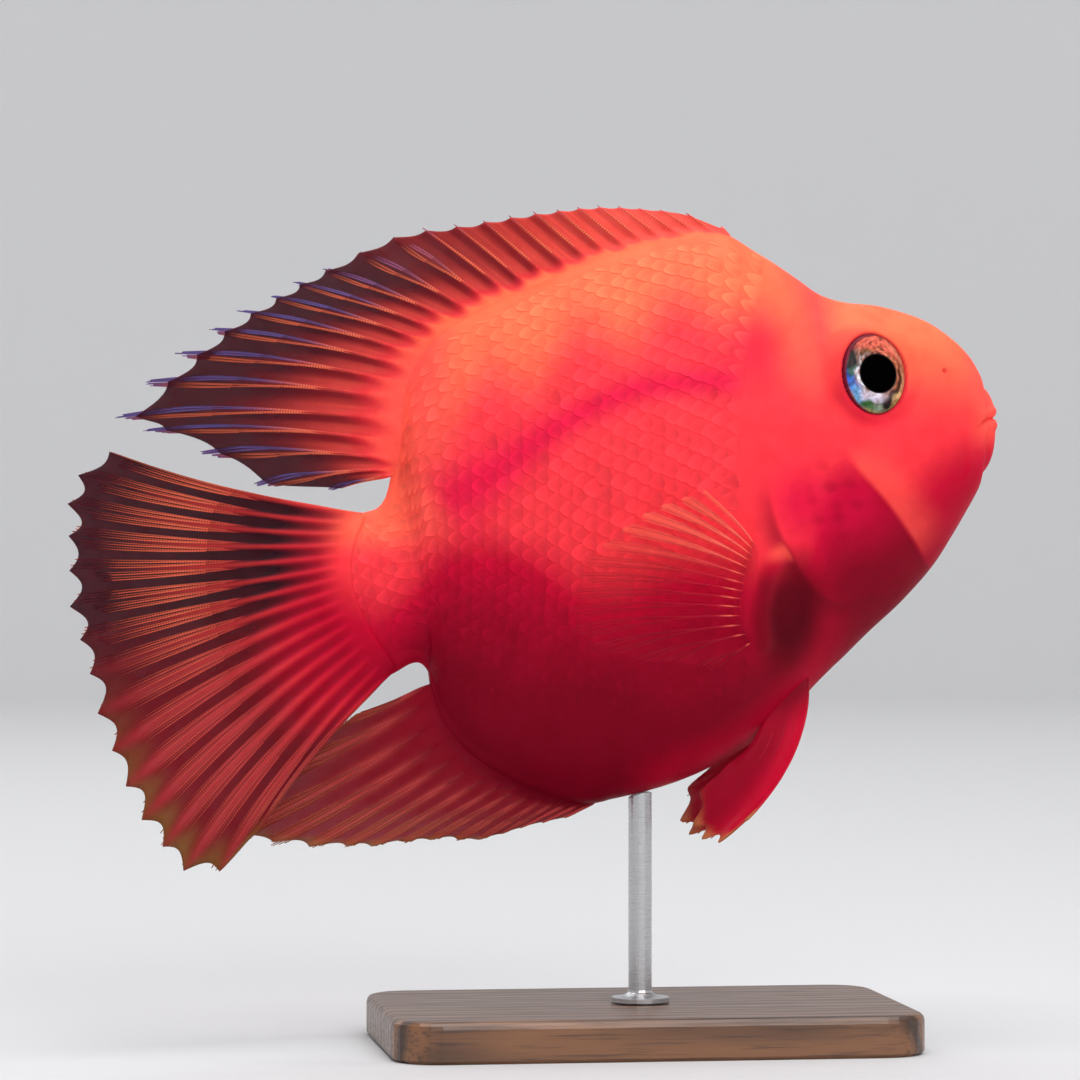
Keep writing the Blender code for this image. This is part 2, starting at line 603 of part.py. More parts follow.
def paired_fin(name, table, side, finish, root_half, out, bow, rows):
    """A fin on the right flank, or its mirror image on the left. It springs away from the flank by out
    times its length before it runs to its tip, and its root is root_half thick on each side."""
    marks = [row[0] for row in table]
    rays = marks[-1] + 1
    places = [flank_place(*row[1]) for row in table]
    tips = [row[2] for row in table]

    def root(place, face):
        where = through(marks, places, place)
        aside = -face * end_taper(place, rays)
        return straight_trunk(where[..., 0] + aside * root_half[0], where[..., 1] + aside * root_half[1], GAP)

    def line(place, share):
        start, tip = root(place, 0), through(marks, tips, place)
        points = bowed(start, tip, share, bow)
        length = np.linalg.norm(tip - start, axis=-1)
        points[..., 1] -= out * length * 4 * share * (1 - share) ** 2
        points[..., 1] += 0.4 * np.sin(1.3 * place) * share
        return points

    near, far, foot = fin(rays, line, root, 0.9, ridge=0.34, notch=0.06, rows=rows)
    if side == 1:
        near, far, foot = mirror(near, 1), mirror(far, 1), mirror(foot, 1)
    return fin_mesh(name, near, far, foot, finish, flipped=side == 1)


def rounded_rectangle(length, width, corner, z):
    """Points of a rectangle with round corners at height z, seen from above against the clock."""
    points = []
    for quarter, (sx, sy) in enumerate([(1, 1), (-1, 1), (-1, -1), (1, -1)]):
        for step in range(7):
            turn = (quarter + step / 6) * PI / 2
            x = sx * (length / 2 - corner) + corner * math.cos(turn)
            points.append((x, sy * (width / 2 - corner) + corner * math.sin(turn), z))
    return points


def stacked(name, rings, finish):
    """A closed solid from rings of points stacked upwards, each against the clock seen from above."""
    count = len(rings[0])
    points = [point for ring in rings for point in ring]
    faces = [tuple(range(count - 1, -1, -1)), tuple(range(len(points) - count, len(points)))]
    for i in range(len(rings) - 1):
        low, high = i * count, (i + 1) * count
        for j in range(count):
            k = (j + 1) % count
            faces.append((low + j, low + k, high + k, high + j))
    return add(name, points, faces, finish, 35.0)


def stand_base(finish):
    """A flat slab with round corners, a small chamfer at its foot and a rounded top edge."""
    steps = [(BASE_FOOT, 0.0), (0.0, BASE_FOOT), (0.0, BASE_HEIGHT - BASE_BEVEL)]
    for turn in (30, 60, 90):
        bend = math.radians(turn)
        steps.append((BASE_BEVEL * (1 - math.cos(bend)), BASE_HEIGHT - BASE_BEVEL * (1 - math.sin(bend))))
    rings = []
    for inset, z in steps:
        size = (BASE_LENGTH - 2 * inset, BASE_WIDTH - 2 * inset)
        rings.append(rounded_rectangle(*size, BASE_CORNER - inset, z))
    return stacked("stand_base", rings, finish)


def stand_rod(finish):
    """A round rod with a small flared foot, up to the belly."""
    low = BASE_HEIGHT + GAP
    profile = [(ROD_FOOT_RADIUS, low), (ROD_FOOT_RADIUS, low + 1.0)]
    for step in range(1, 6):
        turn = step / 5 * PI / 2
        spread = (ROD_FOOT_RADIUS - 0.6 - ROD_RADIUS) * (1 - math.sin(turn))
        profile.append((ROD_RADIUS + spread, low + 1.0 + (ROD_FOOT_HEIGHT - 1.0) * (1 - math.cos(turn))))
    profile.append((ROD_RADIUS, ROD_TOP))
    rings = []
    for radius, z in profile:
        turns = [i * 2 * PI / ROD_SIDES for i in range(ROD_SIDES)]
        rings.append([(radius * math.cos(turn), radius * math.sin(turn), z) for turn in turns])
    return stacked("stand_rod", rings, finish)


def eye_frame(side):
    """The eye's centre and the direction that it looks in."""
    forward, up = math.radians(EYE_FORWARD), math.radians(EYE_UP)
    outward = np.array([math.sin(forward) * math.cos(up), -math.cos(forward) * math.cos(up), math.sin(up)])
    centre = trunk(*flank_place(EYE_X, EYE_Z)) - outward * EYE_SUNK
    return mirror(centre, side), mirror(outward, side)


def eye_profile(seat):
    """The eyeball's outline, with a flat seat of radius seat for the pupil in its face."""
    rim = math.asin(seat / EYE_RADIUS)
    face = dome(EYE_RADIUS, EYE_BULGE, rim, PI / 2, 5)
    back = [(radius, -depth) for radius, depth in dome(EYE_RADIUS, EYE_DEPTH, 0.0, PI / 2, 6)[-2::-1]]
    return [(0.0, PUPIL_FOOT - GAP), (seat, PUPIL_FOOT - GAP)] + face + back


def add_eye(side, word, head, iris, black):
    """An eyeball in a socket of the head, with a black pupil let into it."""
    centre, outward = eye_frame(side)
    turned("eye_" + word, centre, outward, eye_profile(PUPIL_RADIUS + GAP), iris)
    front = dome(EYE_RADIUS + GAP, EYE_BULGE + GAP, 0.0, PI / 2, 6)
    cup = dome(EYE_RADIUS + GAP, EYE_DEPTH + GAP, 0.0, PI / 2, 6)
    back = [(radius, -depth) for radius, depth in cup[-2::-1]]
    boolean(head, helper(turned("socket_" + word, centre, outward, front + back, iris)))
    swell = [(radius, PUPIL_SIDE + height) for radius, height in dome(PUPIL_RADIUS, PUPIL_SWELL, 0.0, PI / 2, 5)]
    pupil = swell + [(PUPIL_RADIUS, PUPIL_FOOT + 0.2), (PUPIL_RADIUS - 0.2, PUPIL_FOOT), (0.0, PUPIL_FOOT)]
    turned("pupil_" + word, centre, outward, pupil, black, sides=20)


def add_nostril(side, word, head, finish):
    """A small round pit ahead of the eye."""
    place = mirror(trunk(*flank_place(NOSTRIL_X, NOSTRIL_Z), 0.25), side)
    outward = mirror(NOSTRIL_LOOK, side)
    pit = [(radius * NOSTRIL_RADIUS, height) for radius, height in [(0, 1), (1, 0.6), (1, -0.6), (0.6, -1), (0, -1)]]
    boolean(head, helper(turned("nostril_" + word, place, outward, pit, finish, sides=12)))


def add_head(skin, cover, iris, black):
    head = trunk_length("head", 0, HEAD_END - SEAM, HEAD_ROWS, skin)
    jaw = trunk_length("lower_jaw", 0, HEAD_END - SEAM, HEAD_ROWS, skin)
    room_half = JAW_HALF_WIDTH + JAW_ROOM_WIDER
    taken = extruded_outline("jaw_room", jaw_outline(GAP, MOUTH_OPEN / 2), room_half, skin)
    kept = extruded_outline("jaw_form", jaw_outline(0.0, -MOUTH_OPEN / 2), JAW_HALF_WIDTH, skin)
    boolean(head, helper(taken))
    boolean(jaw, helper(kept), "INTERSECT")
    for side, word in ((-1, "right"), (1, "left")):
        add_eye(side, word, head, iris, black)
        add_nostril(side, word, head, skin)
        gill_cover("gill_cover_" + word, side, cover)


def add_fins(red, edge, clear):
    """The fins on the back, the tail and the belly, then the paired fins."""
    midline_fin("dorsal_fin", DORSAL, False, red, 1.5, bow=0.03, lean=-0.04, ripple=1.2, rows=6)
    midline_fin("anal_fin", ANAL, True, edge, 1.2, bow=-0.02, lean=0.2, ripple=0.8, rows=6)
    tail_fin("tail_fin", edge)
    for side, word in ((-1, "right"), (1, "left")):
        half = (0.16, 0.0)
        paired_fin("pectoral_fin_" + word, PECTORAL, side, clear, half, out=0.10, bow=0.03, rows=5)
        half = (0.0, -0.05)
        paired_fin("pelvic_fin_" + word, PELVIC, side, edge, half, out=0.06, bow=-0.10, rows=5)


def add_stand(torso_skin, wood, steel):
    stand_base(wood)
    rod = stand_rod(steel)
    belly = trunk_length("belly_seat", HEAD_END + 1, AT["flank"], TORSO_ROWS, torso_skin, GAP)
    boolean(rod, helper(belly))


def main():
    for old in list(bpy.data.objects):
        bpy.data.objects.remove(old)
    skin = material("red skin", (0.86, 0.075, 0.06), 0.32)
    cover = material("gill cover red", (0.62, 0.03, 0.05), 0.3)
    iris = material("iris brown", (0.36, 0.13, 0.07), 0.2)
    black = material("pupil black", (0.004, 0.004, 0.006), 0.05)
    red = material("fin red", (0.72, 0.09, 0.06), 0.35)
    edge = material("fin red brown", (0.42, 0.08, 0.05), 0.35)
    clear = material("fin pale red", (0.75, 0.22, 0.17), 0.3)
    wood = material("dark walnut", (0.10, 0.045, 0.022), 0.4)
    steel = material("brushed steel", (0.62, 0.62, 0.63), 0.3, 1.0)
    add_head(skin, cover, iris, black)
    trunk_length("torso", HEAD_END + SEAM, TORSO_END - SEAM, TORSO_ROWS, skin, crowding=1.4)
    trunk_length("tail_stalk", TORSO_END + SEAM, AT["tail fin root"], STALK_ROWS, skin)
    add_fins(red, edge, clear)
    add_stand(skin, wood, steel)


main()
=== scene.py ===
# %% [markdown]
# A blood parrot cichlid, life size, swimming on a plain stand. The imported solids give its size, its pose
# and its outline. This lesson dresses them: a skin with a real head, a coat of separate scales, fins made
# of clear web and jointed rays, and eyes. Every shape is a numpy formula on a grid.

import math

import bpy
import numpy as np
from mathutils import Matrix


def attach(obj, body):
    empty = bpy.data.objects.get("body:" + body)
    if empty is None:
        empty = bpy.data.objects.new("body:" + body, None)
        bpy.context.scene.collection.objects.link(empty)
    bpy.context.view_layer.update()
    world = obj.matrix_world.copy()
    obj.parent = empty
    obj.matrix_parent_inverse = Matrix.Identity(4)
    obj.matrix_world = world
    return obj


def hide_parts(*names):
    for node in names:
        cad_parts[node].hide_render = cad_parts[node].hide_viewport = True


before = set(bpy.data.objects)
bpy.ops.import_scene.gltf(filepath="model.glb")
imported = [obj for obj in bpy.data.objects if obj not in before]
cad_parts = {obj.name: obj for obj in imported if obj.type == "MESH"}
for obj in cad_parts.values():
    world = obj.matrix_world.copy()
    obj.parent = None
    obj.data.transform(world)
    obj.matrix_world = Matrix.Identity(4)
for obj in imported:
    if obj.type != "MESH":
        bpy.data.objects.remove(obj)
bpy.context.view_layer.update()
MM = 0.001

# %% [markdown]
# The trunk of a fish is a tall oval that changes from the lips to the tail. It could be sculpted, but the
# scales, the fin roots and the eyes must all sit on it, so it is a formula: a place on it is a count of
# landmarks from the mouth (along) and a turn from the back (around). The values repeat those of the
# solids, in millimetres.

# %% The trunk's landmarks
TRUNK = [
    ("mouth", (77.4, 138.5), (77.4, 137.8), 0.5),
    ("lip rim", (79.3, 140.7), (78.9, 134.3), 3.0),
    ("lips", (79.0, 142.8), (79.4, 130.4), 4.8),
    ("lip roots", (77.8, 145.2), (77.9, 126.2), 6.2),
    ("snout", (76.3, 148.4), (76.0, 121.9), 7.8),
    ("chin", (73.8, 152.4), (73.2, 116.9), 9.6),
    ("jaw joint", (69.7, 156.3), (70.3, 112.0), 11.8),
    ("cheek", (63.4, 160.2), (65.9, 105.2), 14.4),
    ("eye", (54.0, 163.0), (59.0, 97.5), 17.6),
    ("forehead", (46.0, 163.9), (51.0, 90.2), 19.8),
    ("gill opening", (41.0, 165.4), (44.0, 83.3), 21.2),
    ("nape", (35.0, 169.6), (35.5, 74.5), 22.2),
    ("shoulder", (27.0, 174.7), (25.5, 66.0), 22.9),
    ("hump", (17.0, 179.3), (13.2, 59.2), 23.2),
    ("back", (4.3, 177.5), (0.0, 54.9), 22.9),
    ("middle", (-9.5, 173.6), (-13.5, 53.0), 21.6),
    ("flank", (-24.0, 167.5), (-26.5, 56.6), 19.2),
    ("vent", (-37.5, 161.2), (-37.8, 63.2), 16.0),
    ("rear", (-47.6, 154.2), (-44.0, 70.5), 12.8),
    ("rear edge", (-53.4, 143.2), (-46.6, 77.6), 10.2),
    ("tail root", (-55.6, 126.0), (-47.6, 82.6), 8.2),
    ("tail stalk", (-58.6, 118.3), (-51.2, 84.0), 6.4),
    ("tail fin root", (-66.6, 117.0), (-60.3, 78.1), 2.4),
]
AT = {row[0]: number for number, row in enumerate(TRUNK)}
TOPS = np.array([row[1] for row in TRUNK])
LOWS = np.array([row[2] for row in TRUNK])
WIDTHS = np.array([row[3] for row in TRUNK])
WIDEST = 0.53  # height of the widest point, as a share of the section
GILL_BOW = 16.5  # how far the gill opening bows back at mid height
TAIL_BOW = 10.0  # how far the root of the tail fin bows back
BEND_FROM, BEND = -15.0, 0.0034  # where the tail starts to swing, and its curvature per millimetre
PI = math.pi
print("landmarks", len(TRUNK))


# %% Curves and masks
def smooth(low, high, value):
    """0 below low, 1 above high, and an even slope between."""
    share = np.clip((np.asarray(value, float) - low) / (high - low), 0.0, 1.0)
    return share * share * (3 - 2 * share)


def bump(middle, spread, value):
    """1 at the middle, falling to nothing about two spreads away."""
    return np.exp(-(((np.asarray(value, float) - middle) / spread) ** 2))


def through(marks, values, at):
    """A cubic through the values at the marks, whose slope at a mark is the chord of its neighbours."""
    marks, values = np.asarray(marks, float), np.asarray(values, float)
    at = np.clip(np.asarray(at, float), marks[0], marks[-1])
    start = np.clip(np.searchsorted(marks, at, side="right") - 1, 0, len(marks) - 2)
    before, after = np.maximum(start - 1, 0), np.minimum(start + 2, len(marks) - 1)
    span = marks[start + 1] - marks[start]
    share = (at - marks[start]) / span
    low_reach, high_reach = marks[start + 1] - marks[before], marks[after] - marks[start]
    if values.ndim > 1:
        span, share = span[..., None], share[..., None]
        low_reach, high_reach = low_reach[..., None], high_reach[..., None]
    low_slope = (values[start + 1] - values[before]) / low_reach * span
    high_slope = (values[after] - values[start]) / high_reach * span
    cube, square = share**3, share**2
    return (
        (2 * cube - 3 * square + 1) * values[start]
        + (cube - 2 * square + share) * low_slope
        + (3 * square - 2 * cube) * values[start + 1]
        + (cube - square) * high_slope
    )


def unit(vectors):
    """The vectors at a length of 1."""
    return vectors / np.maximum(np.linalg.norm(vectors, axis=-1, keepdims=True), 1e-9)


def landmark_curve(values, along):
    return through(np.arange(len(TRUNK)), values, along)


print("half of a soft step", float(smooth(0, 1, 0.5)))


# %% The trunk's form
def swing(points):
    """Bends points towards -Y behind BEND_FROM along an arc, keeping lengths along the body."""
    x, y, z = np.moveaxis(np.asarray(points, float), -1, 0)
    turn = np.maximum(BEND_FROM - x, 0.0) * BEND
    radius = 1 / BEND
    bent_x = np.maximum(x, BEND_FROM) - np.sin(turn) * (radius + y)
    bent_y = y * np.cos(turn) - (1 - np.cos(turn)) * radius
    return np.stack([bent_x, bent_y, z], axis=-1)


def pointed(along, share):
    """The power of the sine that gives a section's width: 1 is an oval, more draws out an edge."""
    rear = smooth(AT["middle"], AT["rear edge"], along) - smooth(AT["tail root"], AT["tail fin root"], along)
    top = 0.95 + 0.2 * smooth(AT["eye"], AT["shoulder"], along) + 0.75 * rear
    low = 0.9 + 0.35 * bump(AT["forehead"], 3.0, along) + 0.95 * rear
    return low + (top - low) * smooth(0.2, 0.8, share)


def straight_form(along, around):
    """Height runs from belly to back as a power of (1 + cos around) / 2, width is the half width times
    |sin around| to the power pointed(), and x bows back with the square of the sine."""
    along, around = np.broadcast_arrays(np.asarray(along, float), np.asarray(around, float))
    top, low = landmark_curve(TOPS, along), landmark_curve(LOWS, along)
    share = (1 + np.cos(around)) / 2
    side = np.abs(np.sin(around)) ** pointed(along, share)
    y = -np.sign(np.sin(around)) * landmark_curve(WIDTHS, along) * side
    level = share ** (math.log(WIDEST) / math.log(0.5))
    middle = low + (top - low) * level[..., None]
    bow = GILL_BOW * bump(AT["gill opening"], 2.4, along)
    bow = bow + TAIL_BOW * smooth(AT["tail root"], AT["tail fin root"], along)
    return np.stack([middle[..., 0] - bow * np.sin(around) ** 2, y, middle[..., 1]], axis=-1)


def relief(along, around):
    """Bumps over the plain form: the lips' groove, the brow and the cheek."""
    turn = np.arccos(np.clip(np.cos(around), -1, 1))
    groove = -0.6 * bump(AT["lip roots"] + 0.3, 0.4, along)
    brow = 0.9 * bump(AT["eye"] - 0.4, 1.2, along) * bump(0.27 * PI, 0.12 * PI, turn)
    cheek = 1.0 * bump(AT["eye"] - 0.6, 1.1, along) * bump(0.62 * PI, 0.12 * PI, turn)
    return groove + brow + cheek


def straight_trunk(along, around, lift=0.0):
    """The form, moved along its normal by the relief and by lift. The normal is the cross product of the
    two small steps to the neighbours of the point."""
    along, around = np.broadcast_arrays(np.asarray(along, float), np.asarray(around, float))
    step = 0.02
    back = straight_form(along + step, around) - straight_form(along - step, around)
    turned = straight_form(along, around + step) - straight_form(along, around - step)
    lifted = (relief(along, around) + lift)[..., None]
    return straight_form(along, around) + unit(np.cross(back, turned)) * lifted


def trunk(along, around, lift=0.0):
    return swing(straight_trunk(along, around, lift))


def flank_place(x, z):
    """(along, around) where the right flank passes x and z: the nearest of a grid, then of finer ones."""
    centre = np.array([10.0, 0.5 * PI])
    reach = np.array([9.0, 0.46 * PI])
    for _ in range(5):
        rows = centre[0] + np.linspace(-1, 1, 41)[:, None] * reach[0]
        turns = np.clip(centre[1] + np.linspace(-1, 1, 41)[None, :] * reach[1], 0.02, PI - 0.02)
        points = straight_trunk(rows, turns)
        nearest = np.argmin(np.hypot(points[..., 0] - x, points[..., 2] - z))
        row, turn = np.unravel_index(nearest, points.shape[:2])
        centre = np.array([rows[row, 0], turns[0, turn]])
        reach = reach / 8
    return centre


EYE_X, EYE_Z = 49.6, 147.4  # where the eye's axis meets the right flank
EYE_RADIUS = 9.0
EYE_SUNK = 1.3  # how far the eye's widest ring lies under the skin
EYE_FORWARD, EYE_UP = 24.0, 6.0  # degrees that the eye looks ahead and up
EYE_OVAL = 0.92  # the rim's width over its height
EYE_REACH = 16, 12  # past the first the skin is as it was, and within the second it follows the eye


def eye_frame(side):
    """The eye's centre and the direction it looks in. side is -1 on the right flank and 1 on the left."""
    forward, up = math.radians(EYE_FORWARD), math.radians(EYE_UP)
    outward = np.array([math.sin(forward) * math.cos(up), -math.cos(forward) * math.cos(up), math.sin(up)])
    centre = trunk(*flank_place(EYE_X, EYE_Z)) - outward * EYE_SUNK
    mirrored = np.array([1.0, -side, 1.0])
    return centre * mirrored, outward * mirrored


def eye_axes(side):
    """The eye's centre, the way it looks, the way to the nose across its face, and up across its face."""
    centre, outward = eye_frame(side)
    up = np.array([0.0, 0.0, 1.0])
    up = unit(up - outward * (up @ outward))
    nose = np.cross(up, outward) * -side
    return centre, outward, nose if nose[0] > 0 else -nose, up


def about_eye(points, side):
    """How high the points stand along the eye's axis, how far out they lie in its oval rings, and how far
    they are from its centre."""
    centre, outward, nose, up = eye_axes(side)
    aside = points - centre
    rings = np.hypot(aside @ nose / EYE_OVAL, aside @ up)
    return aside @ outward, rings, np.linalg.norm(aside, axis=-1)


print("right eye at", np.round(eye_frame(-1)[0], 1).tolist())


# %% [markdown]
# Markings and folds follow lines on the flank: the mouth, the edge of the cheek, the free edge of the gill
# cover. Each is a short bent line in side view, and what it does to the skin depends on how far away it is
# and on which side. One helper measures that for every point at once.


# %% Distance from a line on the flank
def from_line(x, z, line):
    """For points (x, z), the distance to the nearest piece of a bent line, with a plus sign where the
    point lies to the left of the line's direction, and the place along the line from 0 to 1."""
    line = np.asarray(line, float)
    lengths = np.linalg.norm(np.diff(line, axis=0), axis=1)
    starts = np.concatenate([[0.0], np.cumsum(lengths)]) / lengths.sum()
    best, place = np.full(np.shape(x), 1e9), np.zeros(np.shape(x))
    for number, (start, end) in enumerate(zip(line[:-1], line[1:])):
        ahead = (end - start) / lengths[number]
        run = np.clip((x - start[0]) * ahead[0] + (z - start[1]) * ahead[1], 0, lengths[number])
        gap_x, gap_z = x - start[0] - run * ahead[0], z - start[1] - run * ahead[1]
        distance = np.hypot(gap_x, gap_z)
        side = np.where(ahead[0] * gap_z - ahead[1] * gap_x >= 0, 1.0, -1.0)
        nearer = distance < np.abs(best)
        best = np.where(nearer, side * distance, best)
        passed = starts[number] + run * (starts[number + 1] - starts[number]) / lengths[number]
        place = np.where(nearer, passed, place)
    return best, place


def rounded(line, points=28):
    """The smooth curve through a few places, as many short pieces."""
    return through(np.linspace(0, 1, len(line)), line, np.linspace(0, 1, points))


MOUTH_LINE = rounded([(82.0, 138.6), (77.4, 137.9), (75.6, 136.9), (73.6, 135.4)], 12)
LIP_FOLD = rounded([(71.0, 134.0), (70.4, 132.0), (71.2, 128.6), (70.0, 123.5)], 12)
CHEEK_EDGE = rounded([(42.0, 132.5), (44.5, 127.5), (50.5, 121.0), (57.0, 113.6), (63.5, 106.0)])
COVER_FRONT = rounded([
    (42.6, 137.6), (42.4, 130.0), (45.4, 123.4), (51.6, 116.6), (58.0, 110.4), (63.0, 105.8),
])
COVER_REAR = rounded([
    (31.6, 142.4), (25.8, 131.0), (25.2, 118.5), (30.5, 107.0), (40.5, 97.5), (57.0, 99.8),
])
COVER_RISE = 0.45  # how much of the gill cover's height formula the skin shows
LATERAL_BAND = rounded([
    (22.0, 146.0), (14.0, 145.5), (-3.0, 144.0), (-20.0, 136.5), (-34.0, 127.0), (-50.0, 117.0),
])
NOSTRIL = (66.2, 148.4)
FIN_LOBE = rounded([(31.5, 109.0), (27.6, 107.6), (24.6, 102.5), (23.4, 95.0), (24.5, 89.0)], 12)
print("the mouth's line is", round(float(np.ptp(np.array(MOUTH_LINE)[:, 0])), 1), "mm long")


# %% [markdown]
# Colour. The live fish is orange along the back and the forehead, a hot pink red on the flank and a dark
# crimson under it, with a deeper band along the side and a magenta patch on the gill cover. That fall from
# orange to dark crimson is partly the fish's own colour and partly painted light and shade of the light from
# above, and painted shade also lies under the cheek's edge, the gill cover and the chin. Painting by hand or
# an image would do, but skin and scales must carry the same markings, so one function gives the colour of
# any place on the flank, and both read it.


# %% Named colours
def linear(red, green, blue):
    """A screen colour from 0 to 255 turned to linear light by the sRGB curve."""
    screen = np.array([red, green, blue]) / 255
    return np.where(screen <= 0.04045, screen / 12.92, ((screen + 0.055) / 1.055) ** 2.4)


ORANGE = linear(255, 114, 76)
CORAL = linear(254, 88, 76)
HOT_RED = linear(252, 58, 68)
CARMINE = linear(232, 24, 58)
CRIMSON = linear(198, 8, 48)
DARK_CRIMSON = linear(154, 3, 36)
MAGENTA = linear(226, 12, 66)
WINE = linear(116, 2, 26)
print("orange in linear light", np.round(ORANGE, 3).tolist())


# %% The markings, and the painted light and shade
def towards(colour, other, share):
    """colour moved towards other by share, point by point."""
    return colour + (other - colour) * np.asarray(share)[..., None]


def painted(colour, *layers):
    """colour moved towards the colour of each layer in turn, by the layer's share."""
    for other, share in layers:
        colour = towards(colour, other, share)
    return colour


def spread_over(colour, place):
    """One colour for every point."""
    return np.broadcast_to(colour, (*np.shape(place), 3))


def spot(x, z, middle, height, wide, tall):
    """1 at a place on the flank, falling to nothing about two widths or heights away."""
    return bump(0, 1, np.hypot((x - middle) / wide, (z - height) / tall))


def flank_colour(along, x, z):
    """The height above the shade line picks the red: darker downwards, the fish's own red with painted shade
    of the light from above. The distance below the back or the brow mixes in the orange, partly painted top
    light, and each marking adds itself by its distance from its own line or centre; several of them are
    painted shade, and the cheek's edge and the fin's root also carry painted light."""
    under, cheek_place = from_line(x, z, CHEEK_EDGE)
    # painted shade under the cheek's edge: the shade line rises there
    below = smooth(0.4, -0.9, under) * smooth(0.0, 0.12, cheek_place)
    below = below * smooth(-30, -14, under) * smooth(33, 42, x)
    # the shade line: the reds below it darken, the fish's own colour with painted shade of the light from
    # above
    shade = 95.0 + 0.0042 * (x + 8.0) ** 2 * smooth(-200, 60, x) - 16.0 * smooth(-44, -62, x) + 15.0 * below
    shade = shade + 5.0 * bump(-45, 24, x)
    above = z - shade + 3.0 * np.sin(0.16 * x + 0.4) * np.sin(0.11 * z)
    heights = [-42.0, -20.0, -8.0, 3.0, 14.0, 30.0, 50.0]
    reds = np.array([WINE, WINE * 1.3, DARK_CRIMSON * 1.1, CRIMSON, HOT_RED * 0.94, HOT_RED, HOT_RED * 1.02])
    colour = np.stack([np.interp(above, heights, reds[:, channel]) for channel in range(3)], axis=-1)
    top, low = (landmark_curve(ends, along)[..., 1] for ends in (TOPS, LOWS))
    back = smooth(27.0, 7.0, top - z + 3 * np.sin(0.3 * x)) * smooth(45, 25, x) * smooth(-56, -38, x)
    brow = smooth(134.0, 158.0, z) * smooth(34, 46, x) * (1 - 0.35 * smooth(70, 78, x))
    band, place = from_line(x, z, LATERAL_BAND)
    deep = bump(0, 1, band / (3.2 + 4.5 * smooth(0.5, 1.0, place)))
    # orange and coral towards the back, the brow and the top of the tail stalk: the fish's own colour,
    # partly painted light from above
    colour = painted(
        colour,
        (ORANGE, np.clip(np.maximum(back, brow), 0, 1) * 0.92),
        (CORAL, smooth(-40, -52, x) * smooth(106, 118, z) * 0.8),
        (ORANGE, 0.5 * smooth(-50, -58, x) * smooth(107, 114, z)),
        (MAGENTA, 0.85 * deep * smooth(0.0, 0.1, place) * smooth(1.0, 0.92, place)),
        (MAGENTA, 0.6 * spot(x, z, 22, 154, 9, 7)),
    )
    covered = smooth(0.5, -0.6, under)
    mottle = np.sin(0.42 * x + 0.7 * z) * np.sin(0.8 * x - 0.3 * z + 1.0)
    mottle = smooth(-0.2, 1.1, mottle + 0.4 * np.sin(1.7 * z + 0.5 * np.sin(x))) * smooth(0.2, -0.8, under)
    lit = smooth(-0.3, 0.6, under) * smooth(11.0, 0.5, under) * smooth(0.02, 0.2, cheek_place)
    colour = painted(
        colour,
        (MAGENTA, 0.85 * spot(x, z, 33, 119, 8.5, 8.0) * covered),
        (MAGENTA * 0.75, 0.85 * spot(x, z, 45, 118, 8.5, 8.0) * covered),
        (DARK_CRIMSON, 0.5 * spot(x, z, 41, 119, 8.0, 9.0) * mottle),
        (CORAL, 0.55 * lit * smooth(1.0, 0.75, cheek_place) * smooth(38, 46, x)),
        (CORAL, 0.8 * smooth(70, 76, x) * smooth(130, 136, z)),
        # painted shade on the chin, which turns away from the light
        (CRIMSON, 0.4 * smooth(64, 72, x) * smooth(126, 108, z)),
    )
    edge, place = from_line(x, z, COVER_REAR)
    shadow = smooth(-5.0, -0.2, edge) * smooth(1.0, -0.4, edge)
    shadow = shadow * smooth(0.25, 0.5, place) * smooth(1, 0.9, place)
    # painted shade in the hollow under the gill cover's lower rear edge, before the pectoral fin's root
    pit = smooth(1.25, 0.35, np.hypot((x - 31.0) / 9.0, (z - 94.5) / 14.0))
    # the pectoral fin's fleshy root: its own red, with painted light on its top and painted shade down its
    # lower part
    fleshy = towards(spread_over(CORAL, x), CRIMSON, smooth(109, 105, z))
    fleshy = towards(fleshy, DARK_CRIMSON * 0.6, smooth(107, 101, z))
    lobe = smooth(3.2, 0.6, np.abs(from_line(x, z, FIN_LOBE)[0])) * smooth(0.3, -0.4, edge)
    keel = smooth(12.0, 2.0, z - low) * smooth(-8, 6, x) * smooth(48, 36, x)
    return painted(
        colour,
        (WINE, 0.55 * shadow),
        (WINE * 0.4, 0.9 * pit),
        (fleshy, 0.8 * lobe),
        (CRIMSON * 1.05, 0.5 * keel * (1 - pit)),
    )


print("flank colour", np.round(flank_colour(np.array(14.0), np.array(-8.0), np.array(120.0)), 3).tolist())


# %% [markdown]
# A mesh can be made face by face in Python, but half a million corners would take minutes. Here every
# surface arrives as whole arrays, and foreach_set copies them into Blender in one go. Colour and other
# masks ride along as attributes, which the materials read back.


# %% Arrays into meshes
def grid_faces(rows, columns, closed=False):
    """Quads of a grid of points numbered row by row. A closed grid joins its last column to its first."""
    numbers = np.arange(rows * columns).reshape(rows, columns)
    right = np.roll(numbers, -1, axis=1)
    if not closed:
        numbers, right = numbers[:, :-1], right[:, :-1]
    quads = np.stack([numbers[:-1], right[:-1], right[1:], numbers[1:]], axis=-1)
    return quads.reshape(-1, 4)


def fan(ring, pole):
    """Triangles from a pole to each side of a closed ring of points."""
    return np.stack([np.full(len(ring), pole), ring, np.roll(ring, -1)], axis=1)


def capped(rows, columns):
    """Faces of rings of points that two poles follow: the quads, and the fans at the first and last ring."""
    ring = np.arange(columns)
    last = fan(ring + (rows - 1) * columns, rows * columns + 1)
    return [grid_faces(rows, columns, closed=True)[:, ::-1], fan(ring, rows * columns), last[:, [0, 2, 1]]]


